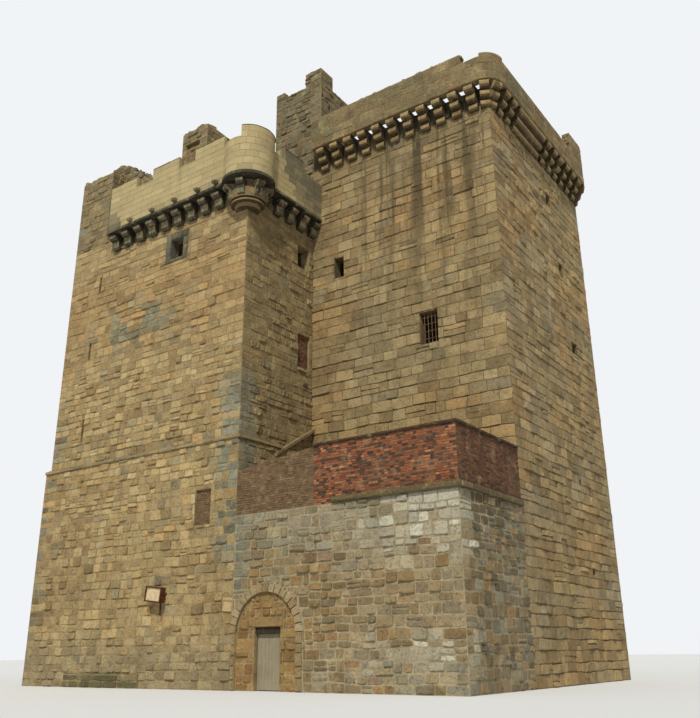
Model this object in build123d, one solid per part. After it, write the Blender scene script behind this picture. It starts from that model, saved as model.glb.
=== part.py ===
from build123d import *
import math
import os

# A stone keep of two joined blocks with a low entrance porch in the angle between them.
# X runs right along the fronts, Y runs back, Z is up. All sizes are in millimetres.
# Until the last step the plan's zero is the front right corner of the hall block at ground level.

# Plan of the hall block (left, lower) and the tower (right, taller)
HALL_WIDTH = 10150
TOWER_WIDTH = 8200
STEP_BACK = 4010
TOWER_DEPTH = 8900
WALL = 1700
SET_OFF = 120
HALL_DEPTH = STEP_BACK + TOWER_DEPTH
REAR = HALL_DEPTH
TOWER_BACK_INNER = REAR - WALL

# Heights of the hall block
STRING_Z = 7940
STRING_HEIGHT = 150
STRING_PROJECTION = 60
STRING_LAP = 35
STRING_RETURN_END = 2050
HALL_CORBEL_Z = 17050
HALL_CORBEL_TIER = 340
HALL_CORBEL_TIERS = 2
COURSE_HEIGHT = 120
COURSE_LIP = 50
HALL_TOP = HALL_CORBEL_Z + HALL_CORBEL_TIERS * HALL_CORBEL_TIER + COURSE_HEIGHT
HALL_PARAPET_HEIGHT = 1630
HALL_MERLON_HEIGHT = 500
TURRET_SILL_HEIGHT = 1500
TURRET_MERLON_HEIGHT = 500
HALL_PARAPET_TOP = HALL_TOP + HALL_PARAPET_HEIGHT
HALL_OUTREACH = 450
HALL_PARAPET_WALL = 400

# Heights of the tower
TOWER_CORBEL_Z = 20050
TOWER_CORBEL_TIER = 320
TOWER_CORBEL_TIERS = 3
TOWER_TOP = TOWER_CORBEL_Z + TOWER_CORBEL_TIERS * TOWER_CORBEL_TIER
TOWER_PARAPET_HEIGHT = 1000
TOWER_MERLON_HEIGHT = 430
CORNER_MERLON_HEIGHT = 150
REAR_MERLON_HEIGHT = 930
TOWER_PARAPET_TOP = TOWER_TOP + TOWER_PARAPET_HEIGHT
TOWER_OUTREACH = 550
TOWER_PARAPET_WALL = 330
TOWER_CORNER_RADIUS = 800

# Floors, by the height of their tops
FLOOR_THICKNESS = 300
FIRST_FLOOR = 4300
SECOND_FLOOR = 7900
THIRD_FLOOR = 10500
FOURTH_FLOOR = 14200
TOWER_UPPER_FLOOR = 17700
FLOOR_LEVELS = (FIRST_FLOOR, SECOND_FLOOR, THIRD_FLOOR, FOURTH_FLOOR)

# Corbels
HALL_CORBEL_WIDTH = 370
HALL_CORBEL_PITCH = 735
HALL_CORBEL_TURRET_GAP = 480
HALL_CORBEL_TOWER_GAP = 220
HALL_FIRST_CORBEL = -7200
HALL_CORBELS_IN_FRONT = 9
TOWER_CORBEL_WIDTH = 360
TOWER_CORBEL_PITCH = 690
TOWER_FIRST_CORBEL = 720
TOWER_CORBELS_IN_FRONT = 11
HALL_NOSE_RADIUS = 200
HALL_NOSE_SWEEP = 90
TOWER_NOSE_RADIUS = 160
TOWER_NOSE_SWEEP = 180
NOSE_FLAT = 30

# Corbels of the tower's right side, measured along Y from its front
RIGHT_CORBELS_NEAR = (700, 1330)
LONG_ROLL_LENGTH = 2450
LONG_ROLL_MIDDLE = 3030
RIGHT_CORBELS_FAR = 4720
CORNER_FAN = 21
CORNER_REACH = 520

# Left end of the tower's front parapet
PARAPET_START = 300

# Ends of the tower's broken merlons: along X for the front, along Y for the rear one
FRONT_MERLON_END = 7370
CORNER_MERLON_START = 8150
REAR_MERLON_START = 11400

# Round turret on the hall's front right corner
TURRET_X = -130
TURRET_Y = 150
TURRET_RADIUS = 960
TURRET_FOOT_Z = 16640
TURRET_FOOT_RADIUS = 440
TURRET_DISC_RADIUS = 480
TURRET_RING_Z = 16850
TURRET_RING_RADIUS = 560
TURRET_RING_THICKNESS = 70
TURRET_RING_ROLL = 70
TURRET_INFILL_RADIUS = 670
TURRET_DRUM_RADIUS = 520
TURRET_CORBEL_Z = 16950
TURRET_CORBEL_WIDTH = 280
TURRET_CORBEL_ANGLES = (-124, -70, -16, 38)
TURRET_MERLON_START = -68
TURRET_MERLON_END = 50
TURRET_GAP_SWEEP = 150
TURRET_FAR_GAP_SWEEP = 60

# Merlons of the hall front, as pairs of ends along X, and of its return, along Y
HALL_PARAPET_START = -7500
HALL_FRONT_MERLONS = ((-7500, -5920), (-4930, -3390), (-2480, -920))
HALL_RETURN_MERLON = (1550, 2750)
HIDDEN_MERLON = 1700
HIDDEN_GAP = 950

# Ruined stubs that stand above the hall's roof
STACK_WIDTH = 2000
STACK_DEPTH = 900
STACK_HEIGHT = 3440
GABLE_THICKNESS = 900
GABLE_LENGTH = 4300
GABLE_SKYLINE = ((0, 3660), (430, 4250), (1160, 4480), (1720, 4340), (2360, 3850), (3480, 2960),
                 (4080, 1700))
GARRET_WIDTH = 1500
GARRET_DEPTH = 1100
GARRET_GABLE_GAP = 630
GARRET_FRONT = 1300
GARRET_HEIGHT = 4900
GARRET_SLOT_WIDTH = 840
GARRET_SLOT_HEIGHT = 260
GARRET_SLOT_DROP = 880
GARRET_SLOT_DEPTH = 500
GARRET_SLOT_INSET = 230

# Cap-house over the angle of the two blocks
CAP_LEFT = -2150
CAP_RIGHT = 380
CAP_DEPTH = 2050
CAP_WALL = 450
CAP_HEIGHT = 3850
CAP_LEFT_RISE = 300
CAP_LEFT_WIDTH = 450
CAP_HIGH_RISE = 710
CAP_HIGH_WIDTH = 850
CAP_HIGH_DEPTH = 880
CAP_DOOR_WIDTH = 750
CAP_DOOR_HEIGHT = 1850

# Porch in the angle
PORCH_WALL = 900
PORCH_TOP = 5250
PORCH_STRING_HEIGHT = 180
PORCH_STRING_PROJECTION = 100
PORCH_STRING_START = 4000
BRICK_WALL = 360
BRICK_TOP = 7070
BRICK_LOW_TOP = 6720
BRICK_JOINT_X = 3270
COPING_HEIGHT = 75
COPING_LIP = 50
DECK_THICKNESS = 200
RAGGLE_WIDTH = 110
RAGGLE_PROJECTION = 70
RAGGLE_LOW = (1750, 7560)
RAGGLE_HIGH = (STEP_BACK, 8910)

# Entrance arch and door
ARCH_X = 1460
ARCH_SPRING = 1640
ARCH_OUTER = 1430
ARCH_INNER = 1180
INFILL_RECESS = 60
INFILL_THICKNESS = 170
DOOR_LEFT = 1000
DOOR_WIDTH = 1020
DOOR_HEAD = 1800
LEAF_HEIGHT = 1600
LEAF_THICKNESS = 60
LEAF_LAP = 20
DOOR_GAP = 6
LEAF_LIFT = 15
HINGE_PIN_RADIUS = 12
HINGE_RUNNING_GAP = 0.5
HINGE_EYE_LIFT = 5
HINGE_EYE_RADIUS = 27
HINGE_EYE_HEIGHT = 80
HINGE_SET = 32
HINGE_HEIGHTS = (300, 1300)
HINGE_PIN_REST = 30
LINTEL_HEIGHT = DOOR_HEAD - LEAF_HEIGHT - LEAF_LIFT - DOOR_GAP

# Base plinth at the hall's front left
PLINTH_HEIGHT = 430
PLINTH_PROJECTION = 80
PLINTH_START = -7800
PLINTH_END = -3950

# Windows: position along the wall, sill, width, height
SPLAY_DEPTH = WALL * 0.75
SPLAY = 200
CORNER_SPLAY = 500
HALL_WINDOW = (-3675, 15700, 710, 880)
SURROUND_SIDE = 260
SURROUND_HEAD = 240
SURROUND_SILL = 130
SURROUND_DEPTH = 350
SURROUND_PROUD = 20
HALL_SLITS = ((-8250, 15500, 120, 620), (-8500, 12450, 120, 760), (-8430, 9000, 120, 900))
BLOCKED_WINDOW = (-1410, 5100, 720, 1180)
BLOCKING_RECESS = 90
BLOCKING_THICKNESS = 400
RETURN_WINDOW = (3385, 15500, 730, 950)
RETURN_BLOCKED_WINDOW = (3455, 11300, 710, 1350)
TOWER_FRONT_WINDOWS = ((1315, 15000, 450, 860), (5240, 11340, 730, 1210))
TOWER_RIGHT_SLITS = ((9275, 18350, 420, 560), (9955, 15400, 400, 560), (10610, 12180, 560, 500))
DRAIN_HOLES = ((9640, 6800, 180, 180), (10050, 3600, 180, 180))
DRAIN_DEPTH = 500
HIDDEN_HALL_WINDOWS = ((-7000, 11600, 600, 1200), (-3800, 15400, 600, 1200))
HIDDEN_LEFT_SLITS = ((4200, 9100, 160, 900), (8200, 12500, 160, 900))
HIDDEN_TOWER_WINDOWS = ((4300, 11400, 600, 1200), (4300, 15000, 600, 1200))
INNER_DOOR = (4600, 0, 1100, 2100)

# Iron lamp frame on the hall front
LAMP_X = -3200
LAMP_Z = 2930
LAMP_WIDTH = 760
LAMP_HEIGHT = 500
LAMP_DEPTH = 200
LAMP_BAR = 45
LAMP_ARM = 120
LAMP_TILT = 7
LAMP_STEM_HEIGHT = 420
LAMP_STEM_INSET = 180


def block(x0, x1, y0, y1, z0, z1):
    """A box between two corners."""
    size = Box(x1 - x0, y1 - y0, z1 - z0, align=(Align.MIN, Align.MIN, Align.MIN))
    return Pos(x0, y0, z0) * size


def prism_xz(points, y0, y1):
    """An outline in X and Z drawn back from y0 to y1."""
    face = make_face(Polyline([(x, y0, z) for x, z in points], close=True))
    return extrude(face, amount=y1 - y0, dir=(0, 1, 0))


def prism_yz(points, x0, x1):
    """An outline in Y and Z drawn across from x0 to x1."""
    face = make_face(Polyline([(x0, y, z) for y, z in points], close=True))
    return extrude(face, amount=x1 - x0, dir=(1, 0, 0))


def upright_cylinder(x, y, radius, z0, z1):
    """A vertical cylinder from z0 to z1."""
    return Pos(x, y, z0) * Cylinder(radius, z1 - z0, align=(Align.CENTER, Align.CENTER, Align.MIN))


def wedge(x, y, reach, start, end, z0, z1):
    """A sector of a circle about (x, y) between two angles in degrees, as a flat sided prism."""
    steps = 6
    angles = [math.radians(start + (end - start) * i / steps) for i in range(steps + 1)]
    points = [(x, y, z0)] + [(x + reach * math.cos(a), y + reach * math.sin(a), z0) for a in angles]
    return extrude(make_face(Polyline(points, close=True)), amount=z1 - z0, dir=(0, 0, 1))


def window_x(window, face_y, inward, near=SPLAY, far=SPLAY):
    """A window through a wall that runs along X. inward is 1 where the room lies at larger Y."""
    x, sill, width, height = window
    slot_end = face_y + inward * (WALL - SPLAY_DEPTH)
    room_face = face_y + inward * WALL
    lo, hi = sorted((face_y - inward * SET_OFF * 2, slot_end))
    slot = block(x - width / 2, x + width / 2, lo, hi, sill, sill + height)
    lo, hi = sorted((slot_end, room_face))
    room = block(x - width / 2 - near, x + width / 2 + far, lo, hi, sill - SPLAY, sill + height + SPLAY)
    return slot + room


def window_y(window, face_x, inward, near=SPLAY, far=SPLAY):
    """A window through a wall that runs along Y. inward is 1 where the room lies at larger X."""
    y, sill, width, height = window
    slot_end = face_x + inward * (WALL - SPLAY_DEPTH)
    room_face = face_x + inward * WALL
    lo, hi = sorted((face_x - inward * SET_OFF * 2, slot_end))
    slot = block(lo, hi, y - width / 2, y + width / 2, sill, sill + height)
    lo, hi = sorted((slot_end, room_face))
    room = block(lo, hi, y - width / 2 - near, y + width / 2 + far, sill - SPLAY, sill + height + SPLAY)
    return slot + room


def nose(y, z, radius, sweep):
    """Points on a rounded stone nose about (y, z), from its foot out to -Y and up, cut in flats."""
    count = round(sweep / NOSE_FLAT)
    angles = [math.radians(sweep * i / count) for i in range(count + 1)]
    return [(0, y - radius * math.sin(a), z - radius * math.cos(a)) for a in angles]


def corbel(tiers, tier, outreach, width, radius, sweep, tail=0):
    """A stepped corbel with a nose on each step. It reaches to -Y from a face at Y = 0, centred on X = 0."""
    step = outreach / tiers
    points = [(0, 0, 0)]
    for i in range(tiers):
        outer, low = -(i + 1) * step, i * tier
        points += nose(outer + radius, low + radius, radius, sweep)
        if low + 2 * radius < (i + 1) * tier:
            points.append((0, outer, (i + 1) * tier))
    points.append((0, tail, tiers * tier))
    if tail > 0:
        points.append((0, tail, 0))
    body = extrude(make_face(Polyline(points, close=True)), amount=width, dir=(1, 0, 0))
    return Pos(-width / 2, 0, 0) * body


def place(piece, x, y, z, turn):
    """Puts a piece that faces -Y at a point, turned about Z by some degrees."""
    return Pos(x, y, z) * Rot(0, 0, turn) * piece


def spread(first, last, pitch):
    """Evenly spaced places from first to last, as near to the pitch as fits."""
    count = max(1, round((last - first) / pitch))
    return [first + (last - first) * i / count for i in range(count + 1)]


# Faces and inner faces
HALL_LEFT = -HALL_WIDTH
LOW_FRONT = -SET_OFF
PARTY_X = -WALL
PORCH_FRONT = LOW_FRONT
PORCH_INNER = PORCH_FRONT + PORCH_WALL
HALL_P_OUT = HALL_OUTREACH
HALL_P_IN = HALL_OUTREACH - HALL_PARAPET_WALL
TOWER_P_OUT = TOWER_OUTREACH
TOWER_P_IN = TOWER_OUTREACH - TOWER_PARAPET_WALL
STACK_REAR = STACK_DEPTH + GABLE_THICKNESS

parts = {}


def hall_walls():
    """The hall block's outer walls, thicker below the string course."""
    front = block(HALL_LEFT, 0, 0, WALL, 0, HALL_TOP)
    front += block(HALL_LEFT - SET_OFF, SET_OFF, LOW_FRONT, WALL, 0, STRING_Z)
    front -= window_x(HALL_WINDOW, 0, 1)
    x, sill, width, height = HALL_WINDOW
    front -= block(x - width / 2 - SURROUND_SIDE, x + width / 2 + SURROUND_SIDE, 0, SURROUND_DEPTH,
                   sill - SURROUND_SILL, sill + height + SURROUND_HEAD)
    for slit in HALL_SLITS:
        front -= window_x(slit, 0, 1, 0, CORNER_SPLAY)
    x, sill, width, height = BLOCKED_WINDOW
    blocking_back = LOW_FRONT + BLOCKING_THICKNESS
    front -= block(x - width / 2, x + width / 2, LOW_FRONT, blocking_back, sill, sill + height)
    parts["hall_front_wall"] = front

    left = block(HALL_LEFT, HALL_LEFT + WALL, WALL, REAR - WALL, 0, HALL_TOP)
    left += block(HALL_LEFT - SET_OFF, HALL_LEFT, WALL, REAR - WALL, 0, STRING_Z)
    for slit in HIDDEN_LEFT_SLITS:
        left -= window_y(slit, HALL_LEFT, 1)
    parts["hall_left_wall"] = left

    rear = block(HALL_LEFT, 0, REAR - WALL, REAR, 0, HALL_TOP)
    rear += block(HALL_LEFT - SET_OFF, 0, REAR, REAR + SET_OFF, 0, STRING_Z)
    rear += block(HALL_LEFT - SET_OFF, HALL_LEFT, REAR - WALL, REAR, 0, STRING_Z)
    for window in HIDDEN_HALL_WINDOWS:
        rear -= window_x(window, REAR, -1)
    parts["hall_rear_wall"] = rear

    wall = block(PARTY_X, 0, WALL, STEP_BACK, 0, HALL_TOP)
    wall += block(0, SET_OFF, WALL, STEP_BACK, 0, STRING_Z)
    far = (STEP_BACK - RETURN_WINDOW[0] - RETURN_WINDOW[2] / 2) / 2
    wall -= window_y(RETURN_WINDOW, 0, -1, SPLAY, far)
    y, sill, width, height = RETURN_BLOCKED_WINDOW
    wall -= block(-BLOCKING_THICKNESS, 0, y - width / 2, y + width / 2, sill, sill + height)
    parts["hall_return_wall"] = wall

    parts["party_wall"] = block(PARTY_X, 0, STEP_BACK, TOWER_BACK_INNER, 0, TOWER_TOP)


def tower_walls():
    """The tower's front, right and rear walls."""
    front = block(0, TOWER_WIDTH, STEP_BACK, STEP_BACK + WALL, 0, TOWER_TOP)
    for window in TOWER_FRONT_WINDOWS:
        front -= window_x(window, STEP_BACK, 1)
    x, sill, width, height = INNER_DOOR
    front -= block(x - width / 2, x + width / 2, STEP_BACK, STEP_BACK + WALL, sill, sill + height)
    parts["tower_front_wall"] = front

    right = block(TOWER_WIDTH - WALL, TOWER_WIDTH, STEP_BACK + WALL, TOWER_BACK_INNER, 0, TOWER_TOP)
    for slit in TOWER_RIGHT_SLITS:
        right -= window_y(slit, TOWER_WIDTH, -1)
    for y, z, width, height in DRAIN_HOLES:
        right -= block(TOWER_WIDTH - DRAIN_DEPTH, TOWER_WIDTH, y - width / 2, y + width / 2, z, z + height)
    parts["tower_right_wall"] = right

    corners = [(0, 0), (TOWER_WIDTH, 0), (TOWER_WIDTH, TOWER_TOP), (PARTY_X, TOWER_TOP), (PARTY_X, HALL_TOP),
               (0, HALL_TOP)]
    rear = prism_xz(corners, TOWER_BACK_INNER, REAR)
    for window in HIDDEN_TOWER_WINDOWS:
        rear -= window_x(window, REAR, -1)
    parts["tower_rear_wall"] = rear


def floors():
    """Floor slabs at the window rows and the flagged roofs behind the parapets."""
    tower_levels = FLOOR_LEVELS + (TOWER_UPPER_FLOOR, TOWER_TOP)
    rooms = (("hall_floors", HALL_LEFT + WALL, PARTY_X, WALL, FLOOR_LEVELS + (HALL_TOP,)),
             ("tower_floors", 0, TOWER_WIDTH - WALL, STEP_BACK + WALL, tower_levels))
    for name, x0, x1, y0, levels in rooms:
        slabs = [block(x0, x1, y0, TOWER_BACK_INNER, top - FLOOR_THICKNESS, top) for top in levels]
        parts[name] = Compound(slabs)


def front_course(reach):
    """The thin course on the hall's front and return, out to a reach, with a round part for the turret."""
    radius = TURRET_RADIUS + reach - HALL_P_OUT
    z0, z1 = HALL_TOP - COURSE_HEIGHT, HALL_TOP
    ring = block(HALL_PARAPET_START, 0, -reach, 0, z0, z1)
    ring += block(0, reach, 0, STEP_BACK, z0, z1)
    turret = upright_cylinder(TURRET_X, TURRET_Y, radius, z0, z1)
    ring += turret - block(HALL_LEFT, 0, 0, REAR, z0, z1)
    return ring


def back_course(reach):
    """The thin course round the hall's left and rear sides, out to a reach."""
    z0, z1 = HALL_TOP - COURSE_HEIGHT, HALL_TOP
    return (block(HALL_LEFT - reach, HALL_LEFT, STACK_REAR, REAR + reach, z0, z1)
            + block(HALL_LEFT, PARTY_X, REAR, REAR + reach, z0, z1))


def hall_corbels():
    """Two tier corbels along the hall's sides and the thin course that they carry."""
    one = corbel(HALL_CORBEL_TIERS, HALL_CORBEL_TIER, HALL_OUTREACH, HALL_CORBEL_WIDTH,
                 HALL_NOSE_RADIUS, HALL_NOSE_SWEEP)
    row = [place(one, HALL_FIRST_CORBEL + i * HALL_CORBEL_PITCH, 0, HALL_CORBEL_Z, 0)
           for i in range(HALL_CORBELS_IN_FRONT)]
    first = TURRET_Y + TURRET_RADIUS + HALL_CORBEL_TURRET_GAP
    row += [place(one, 0, y, HALL_CORBEL_Z, 90)
            for y in spread(first, STEP_BACK - HALL_CORBEL_TOWER_GAP, HALL_CORBEL_PITCH)]
    inset = HALL_CORBEL_WIDTH
    row += [place(one, HALL_LEFT, y, HALL_CORBEL_Z, -90)
            for y in spread(STACK_REAR + inset, REAR - inset, HALL_CORBEL_PITCH)]
    row += [place(one, x, REAR, HALL_CORBEL_Z, 180)
            for x in spread(HALL_LEFT + inset, PARTY_X - inset, HALL_CORBEL_PITCH)]
    parts["hall_corbels"] = Compound(row)
    reach = HALL_P_OUT + COURSE_LIP
    parts["hall_course"] = Compound([front_course(reach), back_course(reach)])


def turret():
    """The round corner turret: moulded foot, corbels and curved parapet."""
    wall_block = block(HALL_LEFT, 0, 0, REAR, 0, HALL_TOP)
    low = TURRET_RING_Z - TURRET_RING_THICKNESS
    high = TURRET_RING_Z + TURRET_RING_THICKNESS
    top = HALL_TOP - COURSE_HEIGHT
    tier = (top - TURRET_CORBEL_Z) / HALL_CORBEL_TIERS
    infill_top = TURRET_CORBEL_Z + tier
    roll = TURRET_RING_RADIUS + TURRET_RING_ROLL
    half = TURRET_RING_THICKNESS / 2
    outline = [(0, TURRET_FOOT_Z), (TURRET_FOOT_RADIUS, TURRET_FOOT_Z), (TURRET_DISC_RADIUS, low),
               (TURRET_RING_RADIUS, low), (roll, TURRET_RING_Z - half), (roll, TURRET_RING_Z + half),
               (TURRET_RING_RADIUS, high), (TURRET_RING_RADIUS, TURRET_CORBEL_Z),
               (TURRET_INFILL_RADIUS, TURRET_CORBEL_Z), (TURRET_INFILL_RADIUS, infill_top),
               (TURRET_DRUM_RADIUS, infill_top), (TURRET_DRUM_RADIUS, top), (0, top)]
    section = make_face(Polyline([(x, 0, z) for x, z in outline], close=True))
    drum = Pos(TURRET_X, TURRET_Y, 0) * revolve(section, Axis.Z)
    parts["turret_foot"] = drum - wall_block

    reach = TURRET_RADIUS - TURRET_DRUM_RADIUS
    one = corbel(HALL_CORBEL_TIERS, tier, reach, TURRET_CORBEL_WIDTH, HALL_NOSE_RADIUS, HALL_NOSE_SWEEP,
                 TURRET_DRUM_RADIUS / 2)
    inner = upright_cylinder(TURRET_X, TURRET_Y, TURRET_DRUM_RADIUS, TURRET_CORBEL_Z, top)
    inner += upright_cylinder(TURRET_X, TURRET_Y, TURRET_INFILL_RADIUS, TURRET_CORBEL_Z, infill_top)
    corbels = []
    for angle in TURRET_CORBEL_ANGLES:
        x = TURRET_X + TURRET_DRUM_RADIUS * math.cos(math.radians(angle))
        y = TURRET_Y + TURRET_DRUM_RADIUS * math.sin(math.radians(angle))
        corbels.append(place(one, x, y, TURRET_CORBEL_Z, angle + 90) - inner - wall_block)
    parts["turret_corbels"] = Compound(corbels)

    sill = HALL_TOP + TURRET_SILL_HEIGHT
    crown = sill + TURRET_MERLON_HEIGHT
    outer = upright_cylinder(TURRET_X, TURRET_Y, TURRET_RADIUS, HALL_TOP, crown)
    inner = upright_cylinder(TURRET_X, TURRET_Y, TURRET_RADIUS - HALL_PARAPET_WALL, HALL_TOP, crown)
    wall = outer - inner - block(HALL_LEFT, HALL_P_IN, -HALL_P_IN, REAR, HALL_TOP, crown)
    reach = TURRET_RADIUS * 2
    gaps = ((TURRET_MERLON_START, TURRET_MERLON_START - TURRET_GAP_SWEEP),
            (TURRET_MERLON_END, TURRET_MERLON_END + TURRET_FAR_GAP_SWEEP))
    for start, end in gaps:
        wall -= wedge(TURRET_X, TURRET_Y, reach, start, end, sill, crown)
    parts["hall_turret"] = wall


def hall_parapets():
    """Straight parapets of the hall, with their merlons as separate blocks."""
    z0, z1, z2 = HALL_TOP, HALL_PARAPET_TOP, HALL_PARAPET_TOP + HALL_MERLON_HEIGHT
    round_part = upright_cylinder(TURRET_X, TURRET_Y, TURRET_RADIUS, z0, z2)
    front = block(HALL_PARAPET_START, TURRET_X, -HALL_P_OUT, -HALL_P_IN, z0, z1)
    side = block(HALL_P_IN, HALL_P_OUT, TURRET_Y, STEP_BACK, z0, z1)
    parts["hall_parapet"] = Compound([(front - round_part).solid(), (side - round_part).solid()])
    left_out, left_in = HALL_LEFT - HALL_P_OUT, HALL_LEFT - HALL_P_IN
    rear_in, rear_out = REAR + HALL_P_IN, REAR + HALL_P_OUT
    back = block(left_out, left_in, STACK_REAR, rear_out, z0, z1)
    parts["hall_back_parapet"] = back + block(left_out, PARTY_X, rear_in, rear_out, z0, z1)
    merlons = [block(x0, x1, -HALL_P_OUT, -HALL_P_IN, z1, z2) - round_part for x0, x1 in HALL_FRONT_MERLONS]
    merlons.append(block(HALL_P_IN, HALL_P_OUT, HALL_RETURN_MERLON[0], HALL_RETURN_MERLON[1], z1, z2))
    pitch = HIDDEN_MERLON + HIDDEN_GAP
    for y in spread(STACK_REAR + pitch / 2, REAR - pitch / 2, pitch):
        merlons.append(block(left_out, left_in, y - HIDDEN_MERLON / 2, y + HIDDEN_MERLON / 2, z1, z2))
    for x in spread(HALL_LEFT + pitch / 2, PARTY_X - pitch / 2, pitch):
        merlons.append(block(x - HIDDEN_MERLON / 2, x + HIDDEN_MERLON / 2, rear_in, rear_out, z1, z2))
    parts["hall_merlons"] = Compound(merlons)


def roof_stubs():
    """What is left of the gable, the garret chimney and the cap-house above the roofs."""
    left = HALL_LEFT
    stack = block(left, left + STACK_WIDTH, 0, STACK_DEPTH, HALL_TOP, HALL_TOP + STACK_HEIGHT)
    slope = [(left, HALL_TOP)] + [(left + along, HALL_TOP + up) for along, up in GABLE_SKYLINE]
    slope.append((left + GABLE_LENGTH, HALL_TOP))
    parts["hall_gable_stub"] = stack + prism_xz(slope, STACK_DEPTH, STACK_REAR)

    x0 = left + GABLE_LENGTH + GARRET_GABLE_GAP
    x1 = x0 + GARRET_WIDTH
    top = HALL_TOP + GARRET_HEIGHT
    stub = block(x0, x1, GARRET_FRONT, GARRET_FRONT + GARRET_DEPTH, HALL_TOP, top)
    slot_x = x0 + GARRET_SLOT_INSET
    stub -= block(slot_x, slot_x + GARRET_SLOT_WIDTH, GARRET_FRONT, GARRET_FRONT + GARRET_SLOT_DEPTH,
                  top - GARRET_SLOT_DROP, top - GARRET_SLOT_DROP + GARRET_SLOT_HEIGHT)
    parts["garret_stub"] = stub

    y0, y1 = STEP_BACK, STEP_BACK + CAP_DEPTH
    low = TOWER_TOP + CAP_HEIGHT
    high = low + CAP_HIGH_RISE
    step_x = CAP_RIGHT - CAP_HIGH_WIDTH
    skyline = [(CAP_LEFT, HALL_TOP), (PARTY_X, HALL_TOP), (PARTY_X, TOWER_TOP), (CAP_RIGHT, TOWER_TOP),
               (CAP_RIGHT, high), (step_x, high), (step_x, low), (CAP_LEFT + CAP_LEFT_WIDTH, low),
               (CAP_LEFT + CAP_LEFT_WIDTH, low + CAP_LEFT_RISE), (CAP_LEFT, low + CAP_LEFT_RISE)]
    cap = prism_xz(skyline, y0, y1)
    cap -= block(step_x, CAP_RIGHT, y0 + CAP_HIGH_DEPTH, y1, low, high)
    cap -= block(CAP_LEFT + CAP_WALL, CAP_RIGHT - CAP_WALL, y0 + CAP_WALL, y1 - CAP_WALL, TOWER_TOP, high)
    door_x = CAP_RIGHT - CAP_WALL - CAP_DOOR_WIDTH
    cap -= block(door_x, door_x + CAP_DOOR_WIDTH, y1 - CAP_WALL, y1, TOWER_TOP, TOWER_TOP + CAP_DOOR_HEIGHT)
    parts["cap_house"] = cap


def tower_corbels():
    """Three tier corbels round the tower's head, with open drop slots between them."""
    one = corbel(TOWER_CORBEL_TIERS, TOWER_CORBEL_TIER, TOWER_OUTREACH, TOWER_CORBEL_WIDTH,
                 TOWER_NOSE_RADIUS, TOWER_NOSE_SWEEP)
    last = TOWER_FIRST_CORBEL + (TOWER_CORBELS_IN_FRONT - 1) * TOWER_CORBEL_PITCH
    row = [place(one, x, STEP_BACK, TOWER_CORBEL_Z, 0)
           for x in spread(TOWER_FIRST_CORBEL, last, TOWER_CORBEL_PITCH)]
    row += [place(one, TOWER_WIDTH, STEP_BACK + y, TOWER_CORBEL_Z, 90) for y in RIGHT_CORBELS_NEAR]
    long_piece = corbel(TOWER_CORBEL_TIERS, TOWER_CORBEL_TIER, TOWER_OUTREACH, LONG_ROLL_LENGTH,
                        TOWER_NOSE_RADIUS, TOWER_NOSE_SWEEP)
    row.append(place(long_piece, TOWER_WIDTH, STEP_BACK + LONG_ROLL_MIDDLE, TOWER_CORBEL_Z, 90))
    row += [place(one, TOWER_WIDTH, y, TOWER_CORBEL_Z, 90)
            for y in spread(STEP_BACK + RIGHT_CORBELS_FAR, REAR - TOWER_CORBEL_PITCH, TOWER_CORBEL_PITCH)]
    row += [place(one, x, REAR, TOWER_CORBEL_Z, 180)
            for x in spread(PARTY_X + TOWER_CORBEL_PITCH / 2, last, TOWER_CORBEL_PITCH)]
    row += [place(one, PARTY_X, y, TOWER_CORBEL_Z, -90)
            for y in spread(STEP_BACK + CAP_DEPTH + TOWER_CORBEL_PITCH / 2, REAR - TOWER_CORBEL_PITCH / 2,
                            TOWER_CORBEL_PITCH)]

    wall_block = block(PARTY_X, TOWER_WIDTH, STEP_BACK, REAR, 0, TOWER_TOP)
    centre_x = TOWER_WIDTH + TOWER_OUTREACH - TOWER_CORNER_RADIUS
    for centre_y, middle in ((STEP_BACK - TOWER_OUTREACH + TOWER_CORNER_RADIUS, -45),
                             (REAR + TOWER_OUTREACH - TOWER_CORNER_RADIUS, 45)):
        pair = []
        for angle in (middle - CORNER_FAN, middle + CORNER_FAN):
            root = TOWER_CORNER_RADIUS - CORNER_REACH
            x = centre_x + root * math.cos(math.radians(angle))
            y = centre_y + root * math.sin(math.radians(angle))
            fan = corbel(TOWER_CORBEL_TIERS, TOWER_CORBEL_TIER, CORNER_REACH, TOWER_CORBEL_WIDTH,
                         TOWER_NOSE_RADIUS, TOWER_NOSE_SWEEP, root)
            pair.append(place(fan, x, y, TOWER_CORBEL_Z, angle + 90) - wall_block)
        row += (pair[0] + pair[1]).solids()
    parts["tower_corbels"] = Compound(row)


def tower_ring(inner, outer, z0, z1):
    """The tower parapet's whole ring in plan, with round outer corners on the right."""
    def rounded(reach):
        radius = TOWER_CORNER_RADIUS - (TOWER_P_OUT - reach)
        x0, x1 = PARTY_X - reach, TOWER_WIDTH + reach
        y0, y1 = STEP_BACK - reach, REAR + reach
        slab = block(x0, x1, y0, y1, z0, z1)
        edges = slab.edges().filter_by(Axis.Z).group_by(Axis.X)[-1]
        return fillet(edges, radius)
    return rounded(outer) - rounded(inner)


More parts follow.
